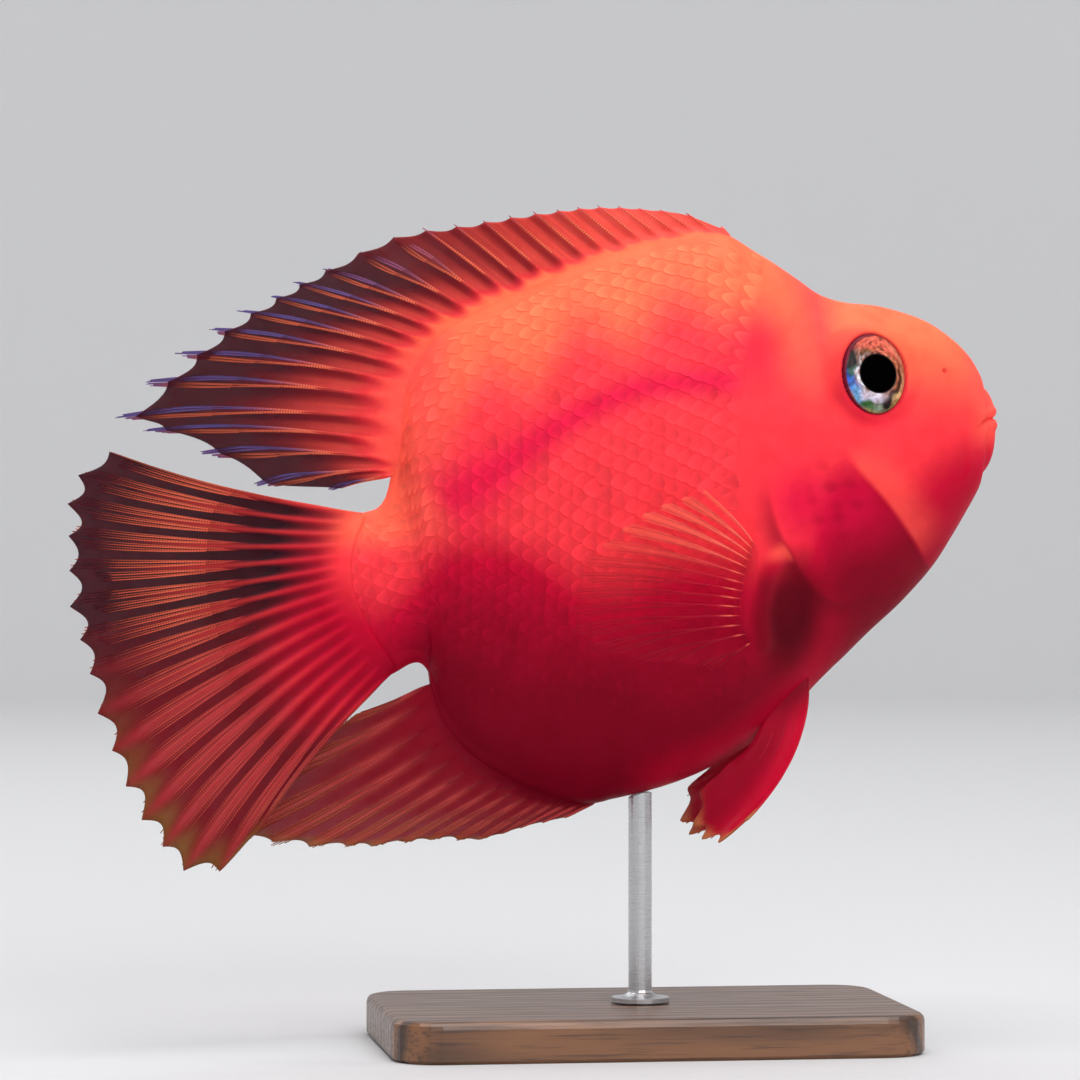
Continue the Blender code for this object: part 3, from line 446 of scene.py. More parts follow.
def sheet_faces(rows, columns):
    """Faces of a thin closed sheet: a grid of points, the same grid on its far side, and the rim."""
    count = rows * columns
    top = grid_faces(rows, columns)
    there = [np.arange(columns - 1), np.arange(columns - 1, count - 1, columns)]
    back = [np.arange(count - 1, count - columns, -1), np.arange(count - columns, 0, -columns)]
    rim = np.concatenate(there + back)
    onward = np.roll(rim, -1)
    sides = np.stack([rim, onward, onward + count, rim + count], axis=1)
    return np.vstack([top[:, ::-1], top + count, sides])


def piece(name, points, faces, material, attributes=None, uv=None, sharp=None):
    """Fills a mesh from points in millimetres and from lists of faces of three or four corners. An
    attribute of one number or of three goes on every point, and uv has a row for every corner."""
    mesh = bpy.data.meshes.new(name)
    points = np.asarray(points, float).reshape(-1, 3)
    corners = np.concatenate([part.ravel() for part in faces])
    sizes = np.concatenate([np.full(len(part), part.shape[1]) for part in faces])
    mesh.vertices.add(len(points))
    mesh.vertices.foreach_set("co", (points * MM).ravel())
    mesh.loops.add(len(corners))
    mesh.loops.foreach_set("vertex_index", corners.astype(np.int32))
    mesh.polygons.add(len(sizes))
    mesh.polygons.foreach_set("loop_start", (np.cumsum(sizes) - sizes).astype(np.int32))
    mesh.update(calc_edges=True)
    mesh.validate()
    for key, values in (attributes or {}).items():
        values = np.asarray(values, float).reshape(len(points), -1)
        if values.shape[1] == 3:
            layer = mesh.color_attributes.new(key, "FLOAT_COLOR", "POINT")
            layer.data.foreach_set("color", np.hstack([values, np.ones((len(points), 1))]).ravel())
        else:
            layer = mesh.attributes.new(key, "FLOAT", "POINT")
            layer.data.foreach_set("value", values.ravel())
    if uv is not None:
        layer = mesh.uv_layers.new(name="OFBake")
        layer.data.foreach_set("uv", uv.ravel())
    mesh.materials.append(material)
    mesh.shade_smooth()
    if sharp:
        mesh.set_sharp_from_angle(angle=math.radians(sharp))
    made = bpy.data.objects.new(name, mesh)
    bpy.context.scene.collection.objects.link(made)
    print(name, len(points), "points", len(sizes), "faces")
    return made


def dress(made, slot, *nodes):
    """Every piece of the fish rides on the body and stands for its nodes. slot is not used."""
    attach(made, "root")
    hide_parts(*nodes)


# %% [markdown]
# Materials. Flesh, scales and fins share one effect: the colour from the attribute wanders a little, as
# pigment does, and fine grain breaks the gloss. That effect is a node group with its own inputs, so each
# material sets its own strength. The shader stays outside the group.


# %% Small helpers for nodes
def feed(tree, node, values):
    """Links each value that is a socket to the node's input of that name or number, and sets the others."""
    for key, value in values.items():
        if isinstance(value, bpy.types.NodeSocket):
            tree.links.new(value, node.inputs[key])
        else:
            node.inputs[key].default_value = value
    return node


def add_node(tree, kind, values):
    """A new node of that kind with those values."""
    return feed(tree, tree.nodes.new(kind), values)


def calculate(tree, operation, *values):
    """A Math node."""
    made = add_node(tree, "ShaderNodeMath", dict(enumerate(values)))
    made.operation = operation
    return made.outputs[0]


def blend_colours(tree, share, first, second, kind="MIX"):
    """A Mix node for colours. Its colour sockets are the seventh and the eighth."""
    made = tree.nodes.new("ShaderNodeMix")
    made.data_type, made.blend_type = "RGBA", kind
    return feed(tree, made, {0: share, 6: first, 7: second}).outputs[2]


def ranged(tree, value, low, high, to_low=0.0, to_high=1.0):
    """A Map Range node: low to high becomes to_low to to_high."""
    keys = {"Value": value, "From Min": low, "From Max": high, "To Min": to_low, "To Max": to_high}
    return add_node(tree, "ShaderNodeMapRange", keys).outputs[0]


def noise(tree, place, scale, detail, roughness=0.5):
    """The value of a Noise Texture node, from 0 to 1."""
    keys = {"Vector": place, "Scale": scale, "Detail": detail, "Roughness": roughness}
    return add_node(tree, "ShaderNodeTexNoise", keys).outputs["Fac"]


def stretched(tree, place, scales):
    """The place with each axis squeezed by its own scale."""
    return add_node(tree, "ShaderNodeMapping", {"Vector": place, "Scale": scales}).outputs[0]


def grained(tree, height, strength, distance=0.0002):
    """The normal of a Bump node."""
    keys = {"Height": height, "Strength": strength, "Distance": distance}
    return add_node(tree, "ShaderNodeBump", keys).outputs["Normal"]


def attribute(tree, name, socket):
    """One output of a node that reads an attribute of the mesh."""
    made = tree.nodes.new("ShaderNodeAttribute")
    made.attribute_name = name
    return made.outputs[socket]


# %% Groups and materials
SOCKETS = {"vector": "NodeSocketVector", "colour": "NodeSocketColor", "number": "NodeSocketFloat"}


def new_group(name, inputs, outputs):
    """An empty node group. Each socket is a label and its kind. Returns the group, the sockets that it is
    given and its output node."""
    group = bpy.data.node_groups.new(name, "ShaderNodeTree")
    for way, sockets in (("INPUT", inputs), ("OUTPUT", outputs)):
        for label, kind in sockets.items():
            group.interface.new_socket(name=label, in_out=way, socket_type=SOCKETS[kind])
    return group, group.nodes.new("NodeGroupInput").outputs, group.nodes.new("NodeGroupOutput")


def use_group(tree, group, values):
    """The outputs of a group node."""
    made = tree.nodes.new("ShaderNodeGroup")
    made.node_tree = group
    return feed(tree, made, values).outputs


def new_material(name):
    """A material, its node tree and its shader."""
    made = bpy.data.materials.new(name)
    made.use_nodes = True
    return made, made.node_tree, made.node_tree.nodes["Principled BSDF"]


def object_place(tree):
    """Where the shaded point lies in its object's own space."""
    return tree.nodes.new("ShaderNodeTexCoord").outputs["Object"]


# %% The shared pigment effect
PIGMENT, given, result = new_group(
    "pigment",
    {
        "Vector": "vector", "Tint": "colour", "Deep": "colour",
        "Scale": "number", "Amount": "number", "Grain": "number",
    },
    {"Color": "colour", "Height": "number", "Cloud": "number"},
)
cloud = noise(PIGMENT, given["Vector"], given["Scale"], 5.0, 0.62)
spots = ranged(PIGMENT, cloud, 0.42, 0.72)
share = calculate(PIGMENT, "MULTIPLY", spots, given["Amount"])
fine = noise(PIGMENT, given["Vector"], given["Grain"], 3.0)
coloured = blend_colours(PIGMENT, share, given["Tint"], given["Deep"], "MULTIPLY")
feed(PIGMENT, result, {"Color": coloured, "Height": fine, "Cloud": spots})
print("group", PIGMENT.name, [item.name for item in PIGMENT.interface.items_tree])


# %% A living surface
def rgba(colour):
    return (*[float(value) for value in colour], 1.0)


def living(name, deep, scale, amount, grain, relief_depth, roughness, flesh, coat=0.0):
    """A material of tinted, slightly mottled, soft tissue. flesh is how much light scatters inside."""
    made, tree, shader = new_material(name)
    looks = {"Tint": attribute(tree, "tint", "Color"), "Deep": rgba(deep), "Scale": scale}
    looks.update({"Vector": object_place(tree), "Amount": amount, "Grain": grain})
    pigment = use_group(tree, PIGMENT, looks)
    feed(tree, shader, {
        "Base Color": pigment["Color"],
        "Normal": grained(tree, pigment["Height"], relief_depth),
        "Roughness": ranged(tree, pigment["Cloud"], 0.0, 1.0, roughness, roughness + 0.12),
        "Subsurface Weight": flesh,
        "Subsurface Radius": (1.0, 0.22, 0.14),
        "Subsurface Scale": 0.004,
        "Coat Weight": coat,
        "Coat Roughness": 0.28,
        "Specular IOR Level": 0.05,
    })
    return made


PIGMENT_SHADE = np.array([0.72, 0.42, 0.5])  # what the darker clouds of pigment leave of the colour
SKIN = living(
    "red skin", PIGMENT_SHADE, scale=160.0, amount=0.4, grain=2600.0, relief_depth=0.22,
    roughness=0.45, flesh=0.22,
)
SCALES = living(
    "red scales", PIGMENT_SHADE, scale=210.0, amount=0.42, grain=3400.0, relief_depth=0.2,
    roughness=0.42, flesh=0.14,
)
print("materials", SKIN.name, SCALES.name)


# %% [markdown]
# The skin. One closed surface stands for the head, jaw, gill covers, trunk and tail stalk, so no seam
# shows. It could be sculpted from a ball, but as a grid on the trunk's formula it keeps the measured
# outline, and every fold is a lift along the normal: the mouth's slit, the lips, the edge of the cheek,
# the step of the gill cover, the nostrils and the rim of the eye. Where the coat will lie it sinks by the
# coat's depth.

# %% Where the skin's points stand
SKIN_ROWS, SKIN_COLUMNS = 318, 300
COAT_DEPTH, BARE_DEPTH = 0.45, 0.06  # how far the skin sinks where scales lie, and elsewhere
SKIN_END = 22.0  # the last row, at the tail fin's root


def skin_rows():
    """Places along the trunk, closer together on the lips, the head and the gill cover's edge."""
    marks = [0.0, 0.19, 0.56, 0.72, 1.0]
    return np.interp(np.linspace(0, 1, SKIN_ROWS), marks, [0.0, 4.0, 9.5, 11.6, SKIN_END])


def skin_turns():
    """Turns around the trunk at even steps of length, with more of them near the eyes."""
    turns = np.linspace(0, 2 * PI, 2001)
    ring = straight_trunk(AT["eye"], turns)
    steps = np.linalg.norm(np.diff(ring, axis=0), axis=1)
    middle = (turns[1:] + turns[:-1]) / 2
    eye_turn = flank_place(EYE_X, EYE_Z)[1]
    near_eye = bump(eye_turn, 0.3, middle) + bump(2 * PI - eye_turn, 0.3, middle)
    length = np.concatenate([[0.0], np.cumsum(steps * (1 + 1.1 * near_eye))])
    return np.interp(np.linspace(0, length[-1], SKIN_COLUMNS + 1)[:-1], length, turns)


print("rows", SKIN_ROWS, "first turns", np.round(skin_turns()[:3], 4).tolist())


# %% The folds of the head
SLIT_DEPTH, LIP_HEIGHT, FOLD_HEIGHT, CHEEK_HEIGHT = 0.6, 0.45, 0.2, 0.5  # of the mouth and the cheek
PIT_DEPTH, MOUND_HEIGHT = 0.35, 0.9  # of a nostril, and of the root of a pectoral fin
RIM_RADIUS, RIM_LEVEL = 9.8, 0.85  # the rim round an eye, and how far it stands before the eye's centre
SOCKET_DEPTH = 3.2  # how far behind the eye's centre the skin passes under the eyeball


def cover_lift(x, z):
    """The gill cover: its height grows from the front edge to the free rear edge by the share of the way
    between them, and drops in a step there."""
    front, _ = from_line(x, z, COVER_FRONT)
    rear, place = from_line(x, z, COVER_REAR)
    soft = 1.6 * smooth(0.35, 0.7, place)
    inside = smooth(-0.25 - soft, 0.45 + soft, rear)
    share = np.clip(-front, 0, None) / np.maximum(np.clip(-front, 0, None) + np.clip(rear, 0, None), 1e-6)
    height = 0.4 + 0.75 * smooth(0.1, 0.85, share)
    ends = smooth(0.0, 0.25, place) * smooth(0.92, 0.55, place) * (0.3 + 0.7 * smooth(0.35, 0.55, place))
    return COVER_RISE * height * inside * smooth(0.0, 0.3, share) * ends


def head_lift(along, x, z):
    """Folds of the head in millimetres, each a bump or a step by the distance from its own line."""
    mouth, place = from_line(x, z, MOUTH_LINE)
    slit = -SLIT_DEPTH * bump(0, 0.34, mouth) * smooth(1.0, 0.6, place)
    lip = LIP_HEIGHT * (bump(1.6, 0.9, mouth) + bump(-1.6, 0.9, mouth))
    lip = lip * smooth(1.0, 0.7, place) * smooth(5, 3, along)
    fold, place = from_line(x, z, LIP_FOLD)
    crease = FOLD_HEIGHT * bump(1.3, 1.1, fold) - FOLD_HEIGHT * bump(0, 0.9, fold)
    crease = crease * smooth(0, 0.3, place) * smooth(1, 0.7, place)
    under, place = from_line(x, z, CHEEK_EDGE)
    ends = smooth(0.0, 0.2, place) * smooth(1.0, 0.8, place)
    cheek = CHEEK_HEIGHT * smooth(-0.5, 0.5, under) * smooth(9.0, 2.0, under) * ends
    pit = np.hypot(x - NOSTRIL[0], z - NOSTRIL[1])
    nostril = -PIT_DEPTH * smooth(0.65, 0.25, pit) + 0.1 * bump(1.0, 0.35, pit)
    mound = MOUND_HEIGHT * smooth(4.5, 0.0, np.abs(from_line(x, z, FIN_LOBE)[0]))
    return slit + lip + crease + cheek + nostril + mound


def socket(points, side):
    """Sinks the points round an eye: by their distance from its axis they rise to a soft rim, then fall
    well under the eyeball."""
    outward = eye_frame(side)[1]
    height, radius, distance = about_eye(points, side)
    near = smooth(*EYE_REACH, distance)
    rim = 0.12 * bump(RIM_RADIUS, 0.7, radius)
    level = RIM_LEVEL + 0.25 * (np.maximum(height, -1.0) - RIM_LEVEL)
    drawn = height + (level - height) * smooth(13.0, 9.2, radius) + rim
    sunk = drawn + (-SOCKET_DEPTH - drawn) * smooth(9.1, 7.6, radius)
    return points + outward * ((sunk - height) * near)[..., None]


print("gill cover stands out", round(float(cover_lift(np.array(27.0), np.array(117.0))), 2), "mm")


# %% Build the skin
def coat_share(along, x, z):
    """1 where scales lie and 0 on the bare head: a soft step a little behind the gill cover's edge."""
    edge, _ = from_line(x, z, COVER_REAR)
    behind = smooth(0.2, -1.5, edge)
    return np.maximum(smooth(9.6, 10.6, along) * behind, smooth(11.0, 12.2, along))


def build_skin():
    """The grid of rows and turns, closed with a fan at the mouth and at the tail."""
    along, around = np.meshgrid(skin_rows(), skin_turns(), indexing="ij")
    flat = straight_trunk(along, around)
    x, z = flat[..., 0], flat[..., 2]
    bare = smooth(3.2, 1.0, landmark_curve(TOPS, along)[..., 1] - z) * smooth(12.0, 13.0, along)
    bare = np.maximum(bare, smooth(3.2, 1.0, z - landmark_curve(LOWS, along)[..., 1]) * smooth(-6, -10, x))
    coat = coat_share(along, x, z) * (1 - bare)
    lift = cover_lift(x, z) + head_lift(along, x, z) - COAT_DEPTH * coat - BARE_DEPTH * (1 - coat)
    points = trunk(along, around, lift - 1.0 * smooth(21.3, SKIN_END, along))
    for side in (-1, 1):
        points = socket(points, side)
    slit, place = from_line(x, z, MOUTH_LINE)
    # painted shade in the mouth's slit and in the nostril's pit
    tint = painted(
        flank_colour(along, x, z),
        (CRIMSON, 0.4 * bump(0, 0.3, slit) * smooth(1.0, 0.6, place)),
        (CRIMSON, 0.6 * smooth(0.9, 0.3, np.hypot(x - NOSTRIL[0], z - NOSTRIL[1]))),
    )
    for side in (-1, 1):
        height, radius, distance = about_eye(points, side)
        ring = smooth(*EYE_REACH, distance)
        # painted shade in the skin round each eye: in its socket, along the rim's rear side and under the
        # eye
        tint = painted(
            tint,
            (CRIMSON, ring * 0.75 * smooth(9.7, 8.9, radius)),
            (CRIMSON, 0.5 * smooth(3.0, -5.0, points[..., 0] - EYE_X) * bump(9.6, 1.5, radius) * ring),
            (CARMINE * 0.75, 0.6 * smooth(0, -6, points[..., 2] - EYE_Z) * bump(10.4, 2.0, radius) * ring),
        )
    points = np.vstack([points.reshape(-1, 3), points[0].mean(axis=0), points[-1].mean(axis=0)])
    tint = np.vstack([tint.reshape(-1, 3), tint[0].mean(axis=0), tint[-1].mean(axis=0)])
    return piece("skin", points, capped(SKIN_ROWS, SKIN_COLUMNS), SKIN, {"tint": tint})


skin = build_skin()
dress(skin, "skin", "head", "lower_jaw", "gill_cover_right", "gill_cover_left", "torso", "tail_stalk")


# %% [markdown]
# The coat. A cichlid's scales are thin plates in staggered columns, rooted at the front and free at the
# back, each laid over the next. A bump texture would flatten out at the outline, so each scale here is a
# real closed plate: a five by five patch laid on the trunk's formula, sunk at its root and lifted at its
# free rear edge. All of one flank are worked out in one array.

# %% Where the scales grow
SCALE_STEP, SCALE_TALL = 2.9, 3.9  # between columns and between rows, in millimetres
SCALE_LONG = 4.7  # a scale's whole length, root to free edge
PATCH = 5  # points along and across a scale
PLATE_THICK, PLATE_SUNK = 0.14, 0.12  # a scale's thickness, and its depth under the skin at its root
PLATE_LIFT, PLATE_DOME = 0.18, 0.07  # how far its free edge stands out, and how far its middle bulges
PLATE_AHEAD = 1.2  # how far it starts before its root
UV_SIZE = 0.003  # the side of a scale's own square in the texture, as a share of it
COAT_START, COAT_END = 10.35, 21.3


def scale_roots(wander):
    """Columns at even steps along the middle of the flank. In a column the scales stand at even lengths
    round the trunk from the middle of the side, and every other column is shifted by half a scale."""
    fine = np.linspace(COAT_START, COAT_END, 600)
    middle = straight_trunk(fine, np.full(600, 0.5 * PI))
    length = np.concatenate([[0.0], np.cumsum(np.linalg.norm(np.diff(middle, axis=0), axis=1))])
    columns = np.interp(np.arange(0, length[-1], SCALE_STEP), length, fine)
    roots = []
    for number, along in enumerate(columns):
        turns = np.linspace(0.01, PI - 0.01, 400)
        ring = straight_trunk(np.full(400, along), turns)
        run = np.concatenate([[0.0], np.cumsum(np.linalg.norm(np.diff(ring, axis=0), axis=1))])
        half = np.interp(0.5 * PI, turns, run)
        low, high = math.floor(-half / SCALE_TALL), math.floor((run[-1] - half) / SCALE_TALL)
        places = half + (np.arange(low, high + 1) + 0.5 * (number % 2)) * SCALE_TALL
        places = places[(places > 1.0) & (places < run[-1] - 1.0)]
        turns = np.interp(places, run, turns)
        roots += [(along, turn) for turn in turns]
    roots = np.array(roots)
    roots += wander.normal(0, 1, (len(roots), 2)) * (0.008, 0.002)
    return roots


sample = scale_roots(np.random.default_rng(4))
print("scales on a flank", len(sample))


# %% Build the coat
def trunk_slope(along, turn, step, turned):
    """How the trunk's form moves per landmark, or where turned is 1 per radian of turn."""
    ahead, aside = step * (1 - turned), step * turned
    moved = straight_form(along + ahead, turn + aside) - straight_form(along - ahead, turn - aside)
    return moved / (2 * step)


def build_coat(name, side, seed):
    """A plate's point is its root moved by so many millimetres back along the body and square to that. With
    Pa and Pt the trunk's slopes by along and by around, T = Pa / |Pa| and S square to it, a move of (a, b)
    on (T, S) is b / (Pt . S) around and (a - that * (Pt . T)) / |Pa| along. A plate shrinks with the steps
    between its neighbours, and its lift grows with the share of its length."""
    wander = np.random.default_rng(seed)
    roots = scale_roots(wander)
    count = len(roots)
    along, turn = roots.T
    back, middle = trunk_slope(along, turn, 0.05, 0), trunk_slope(along, 0.5 * PI, 0.05, 0)
    around = trunk_slope(along, turn, 0.01, 1)
    along, turn = along[:, None, None], turn[:, None, None]
    stretch = np.linalg.norm(back, axis=1)[:, None, None]
    crowd = np.clip(stretch / np.linalg.norm(middle, axis=1)[:, None, None], 0.5, 1.2)
    run = np.einsum("ij,ij->i", around, back)[:, None, None] / stretch
    reach = np.linalg.norm(around, axis=1)[:, None, None]
    square = np.sqrt(np.maximum(reach**2 - run**2, 1e-6))
    lean = np.clip(square / reach, 0.5, 1.0)
    forward, across = np.meshgrid(np.linspace(0, 1, PATCH), np.linspace(-1, 1, PATCH), indexing="ij")
    size = 1 + wander.normal(0, 0.05, count)[:, None, None]
    size = size * (0.8 + 0.2 * smooth(10.2, 12.0, along) - 0.12 * smooth(19.5, 21.5, along))
    ahead = (SCALE_LONG * forward * (1 - 0.32 * across**2) - PLATE_AHEAD) * size * crowd
    shield = 1 - 0.35 * (1 - forward) ** 2 - 0.28 * forward**3
    aside = (0.56 * SCALE_TALL * across * shield) * size * lean / square
    alongs = along + (ahead - aside * run) / stretch
    turns = np.clip(turn + aside, 0.004, PI - 0.004)
    flat = straight_trunk(alongs, turns)
    high = smooth(68, 104, straight_trunk(along, turn)[..., 2])
    stand = PLATE_LIFT * smooth(10.4, 12.5, along) * (1 - 0.4 * smooth(20, COAT_END, along))
    rise = (stand * (0.25 + 0.75 * high) + 0.06) * forward**1.2
    dome = PLATE_DOME * (1 - across**2) * np.sin(PI * np.clip(forward, 0, 0.9))
    lift = -COAT_DEPTH - PLATE_SUNK + rise + dome * (0.3 + 0.7 * high)
    signed = turns if side == -1 else -turns
    sides = [trunk(alongs, signed, lift - depth).reshape(count, -1, 3) for depth in (0, PLATE_THICK)]
    colour = flank_colour(np.broadcast_to(along, flat.shape[:-1]), flat[..., 0], flat[..., 2])
    own = (1 + wander.normal(0, 0.06, count))[:, None, None, None]
    # painted light and shade on each scale: its raised free edge lighter and paler, a darker band where the
    # scale ahead overlaps it, both strongest on the upper flank where the light falls
    edge = ((forward**4 * 0.2 - 0.13 * bump(0.32, 0.2, forward)) * (0.2 + 0.8 * high))[..., None]
    light = np.array([1.0, 1.25, 1.12]) - 1
    colour = colour * own * (1 + edge) + colour * np.clip(edge, 0, 1) * light * 2.2
    colour = colour.reshape(count, -1, 3)
    plate = sheet_faces(PATCH, PATCH)
    if side == 1:
        plate = plate[:, ::-1]
    faces = (plate[None] + (np.arange(count) * 2 * PATCH**2)[:, None, None]).reshape(-1, 4)
    grid = np.stack([forward.ravel(), across.ravel() / 2 + 0.5], axis=1)
    corner = np.concatenate([along / 24.0, turn / PI * 0.96 + 0.02], axis=-1)
    uv = (corner + np.concatenate([grid, grid]) * UV_SIZE).reshape(-1, 2)[faces.ravel()]
    tints = {"tint": np.concatenate([colour, colour], axis=1)}
    dress(piece(name, np.concatenate(sides, axis=1), [faces], SCALES, tints, uv, sharp=50), "skin", "torso")


build_coat("scales_right", -1, 11)
build_coat("scales_left", 1, 12)


# %% [markdown]
# Fins. A fin is a thin clear web held by rays. A front dorsal or anal ray is a plain spine, and the others
# are jointed and fork towards their tips. Flat cards with a picture would look right from one side only,
# so the web is a closed thin sheet, and every ray and fork is a tapering tube of its own. Both follow the
# same line formulas and tables as the solids.

# %% The fins' tables
DORSAL = [
    (0, 12.65, (16.5, 182.4)),
    (2, 13.30, (5.0, 183.9)),
    (5, 14.20, (-9.0, 184.5)),
    (8, 15.10, (-23.5, 182.8)),
    (11, 16.05, (-41.0, 179.8)),
    (13, 16.65, (-55.0, 177.3)),
    (15, 17.30, (-71.0, 170.0)),
    (17, 17.95, (-84.0, 163.8)),
    (19, 18.55, (-98.0, 156.2)),
    (21, 19.10, (-112.5, 144.6)),
    (22, 19.35, (-120.5, 136.8)),
    (23, 19.60, (-112.5, 134.2)),
    (24, 19.82, (-98.5, 129.4)),
    (25, 19.95, (-86.0, 122.6)),
    (26, 20.05, (-68.0, 122.0)),
]
ANAL = [
    (0, 14.70, (-16.6, 50.0)),
    (2, 15.10, (-26.4, 47.8)),
    (4, 15.50, (-36.0, 45.2)),
    (6, 15.98, (-47.0, 45.4)),
    (8, 16.50, (-60.0, 44.2)),
    (10, 17.20, (-73.0, 44.2)),
    (12, 18.20, (-87.5, 47.2)),
    (13, 18.85, (-79.0, 60.0)),
    (14, 19.35, (-62.5, 73.0)),
]
TAIL_TIPS = [
    (0, (-119.5, 130.0)),
    (1, (-127.0, 125.0)),
    (3, (-129.5, 112.0)),
    (5, (-129.0, 97.0)),
    (7, (-124.5, 82.5)),
    (9, (-119.5, 66.0)),
    (11, (-113.0, 51.5)),
    (13, (-104.0, 40.2)),
    (14, (-95.5, 40.0)),
    (15, (-86.5, 48.0)),
]
PECTORAL = [
    (0, (22.4, 109.4), (8.9, -29.5, 122.0)),
    (3, (22.4, 105.6), (-5.5, -33.0, 116.8)),
    (6, (21.9, 101.0), (-18.0, -35.0, 106.5)),
    (9, (21.4, 96.2), (-22.0, -35.0, 95.5)),
    (11, (21.4, 92.6), (-16.0, -34.0, 87.0)),
    (13, (22.2, 88.8), (11.5, -29.0, 83.0)),
]
PELVIC = [
    (0, (37.2, 80.6), (22.5, -9.5, 50.0)),
    (1, (35.4, 78.6), (15.9, -9.0, 44.6)),
    (2, (33.2, 76.4), (12.2, -8.5, 45.3)),
    (3, (31.0, 74.2), (10.2, -8.0, 48.5)),
    (4, (28.8, 72.2), (12.0, -7.5, 56.0)),
    (5, (26.8, 70.6), (18.5, -7.0, 62.0)),
]
ROOT_SUNK = -0.7  # a fin's web starts this far under the trunk's form
rays = [table[-1][0] + 1 for table in (DORSAL, ANAL, TAIL_TIPS, PECTORAL, PELVIC)]
print("rays", rays)


# %% The lines of the rays
def bowed(root, tip, share, bow):
    """A line from root to tip that bows up by bow times its length, in the plane of the fish."""
    reach = tip - root
    aside = np.stack([reach[..., 2], 0 * reach[..., 1], -reach[..., 0]], axis=-1)
    return root + reach * share[..., None] + aside * (4 * share * (1 - share) * bow)[..., None]


def midline_rays(table, low, bow, lean, ripple):
    """Rays of the back or the belly: the fin leans to one side at its rear and ripples along its edge."""
    marks = [row[0] for row in table]
    rays = marks[-1] + 1
    turn = PI if low else 0.0

    def line(place, share):
        tip = through(marks, [row[2] for row in table], place)
        tip = np.stack([tip[..., 0], 0 * tip[..., 0], tip[..., 1]], axis=-1)
        root = straight_trunk(through(marks, [row[1] for row in table], place), turn, ROOT_SUNK)
        root[..., 1] = 0.0
        points = bowed(root, tip, share, bow * smooth(0.2 * rays, 0.8 * rays, place))
        length = np.linalg.norm(tip - root, axis=-1)
        sway = lean * smooth(0.4 * rays, 0.9 * rays, place) * length
        sway = sway + ripple * np.sin(0.55 * place) * smooth(0.3, 1, share)
        points[..., 1] += sway * share
        return swing(points)

    return line


def tail_rays():
    """Rays of the tail fin, from the bowed end of the tail stalk, its lower half a little to the right."""
    marks = [row[0] for row in TAIL_TIPS]
    rays = marks[-1] + 1
    level_power = math.log(0.5) / math.log(WIDEST)

    def line(place, share):
        level = np.clip(0.985 - 0.97 * place / (rays - 1), 0, 1)
        around = np.arccos(np.clip(2 * level**level_power - 1, -1, 1))
        root = straight_trunk(AT["tail fin root"] - 0.6, around)
        root[..., 1] = 0.0
        tip = through(marks, [row[1] for row in TAIL_TIPS], place)
        tip = np.stack([tip[..., 0], -3.0 * smooth(0.3 * rays, rays, place), tip[..., 1]], axis=-1)
        points = bowed(root, tip, share, -0.03 + 0.07 * place / rays)
        points[..., 1] += 0.9 * np.sin(0.8 * place + 1.0) * share**2
        return swing(points)

    return line


def paired_rays(table, side, out, bow):
    """Rays on a flank. They spring away from it by out times their length, then run to their tips."""
    marks = [row[0] for row in table]
    places = [flank_place(*row[1]) for row in table]
    tips = [row[2] for row in table]

    def line(place, share):
        where = through(marks, places, place)
        root = straight_trunk(where[..., 0], where[..., 1], ROOT_SUNK)
        tip = through(marks, tips, place)
        points = bowed(root, tip, share, bow)
        length = np.linalg.norm(tip - root, axis=-1)
        points[..., 1] -= out * length * 4 * share * (1 - share) ** 2
        points[..., 1] += 0.4 * np.sin(1.3 * place) * share
        return points * np.array([1.0, -side, 1.0])

    return line


dorsal_line = midline_rays(DORSAL, False, 0.03, -0.04, 1.2)
print("first dorsal ray's tip", np.round(dorsal_line(np.array(0.0), np.array(1.0)), 1).tolist())


# %% Tubes for the rays
TUBE_SIDES, TUBE_STEPS = 6, 26
FORK_PARTS = 1.0, 0.42, 0.2  # how far each of the three forks spreads, as a share of the first


def strands(rays, first_soft, fork, spread, beyond, wander):
    """One row per strand: its ray, its start, the sideways leans of its three forks, and its end. A spine
    has one strand. A soft ray forks into two halves, each a band of four threads side by side, and the
    rear half ends a little sooner. A thread starts at the fork it comes from."""
    rows = []
    for ray in range(rays):
        end = 1 + beyond * wander.uniform(0.2, 1.0)
        if ray < first_soft:
            rows.append((ray, 0.0, 0.0, 0.0, 0.0, end))
            continue
        shorter = wander.uniform(0.9, 0.98)
        starts = [0.0, fork + 0.3, fork + 0.12, fork + 0.3, fork - 0.1, fork + 0.3, fork + 0.12, fork + 0.3]
        for number, start in enumerate(starts):
            leans = [1 if number & bit else -1 for bit in (4, 2, 1)]
            reach = end * wander.uniform(0.98, 1.0) * (shorter if leans[0] > 0 else 1)
            reach = reach * (0.965 if leans[0] == leans[1] else 0.985)
            turns = [lean * spread * part for lean, part in zip(leans, FORK_PARTS)]
            rows.append((ray, start, *turns, reach))
    return np.array(rows)


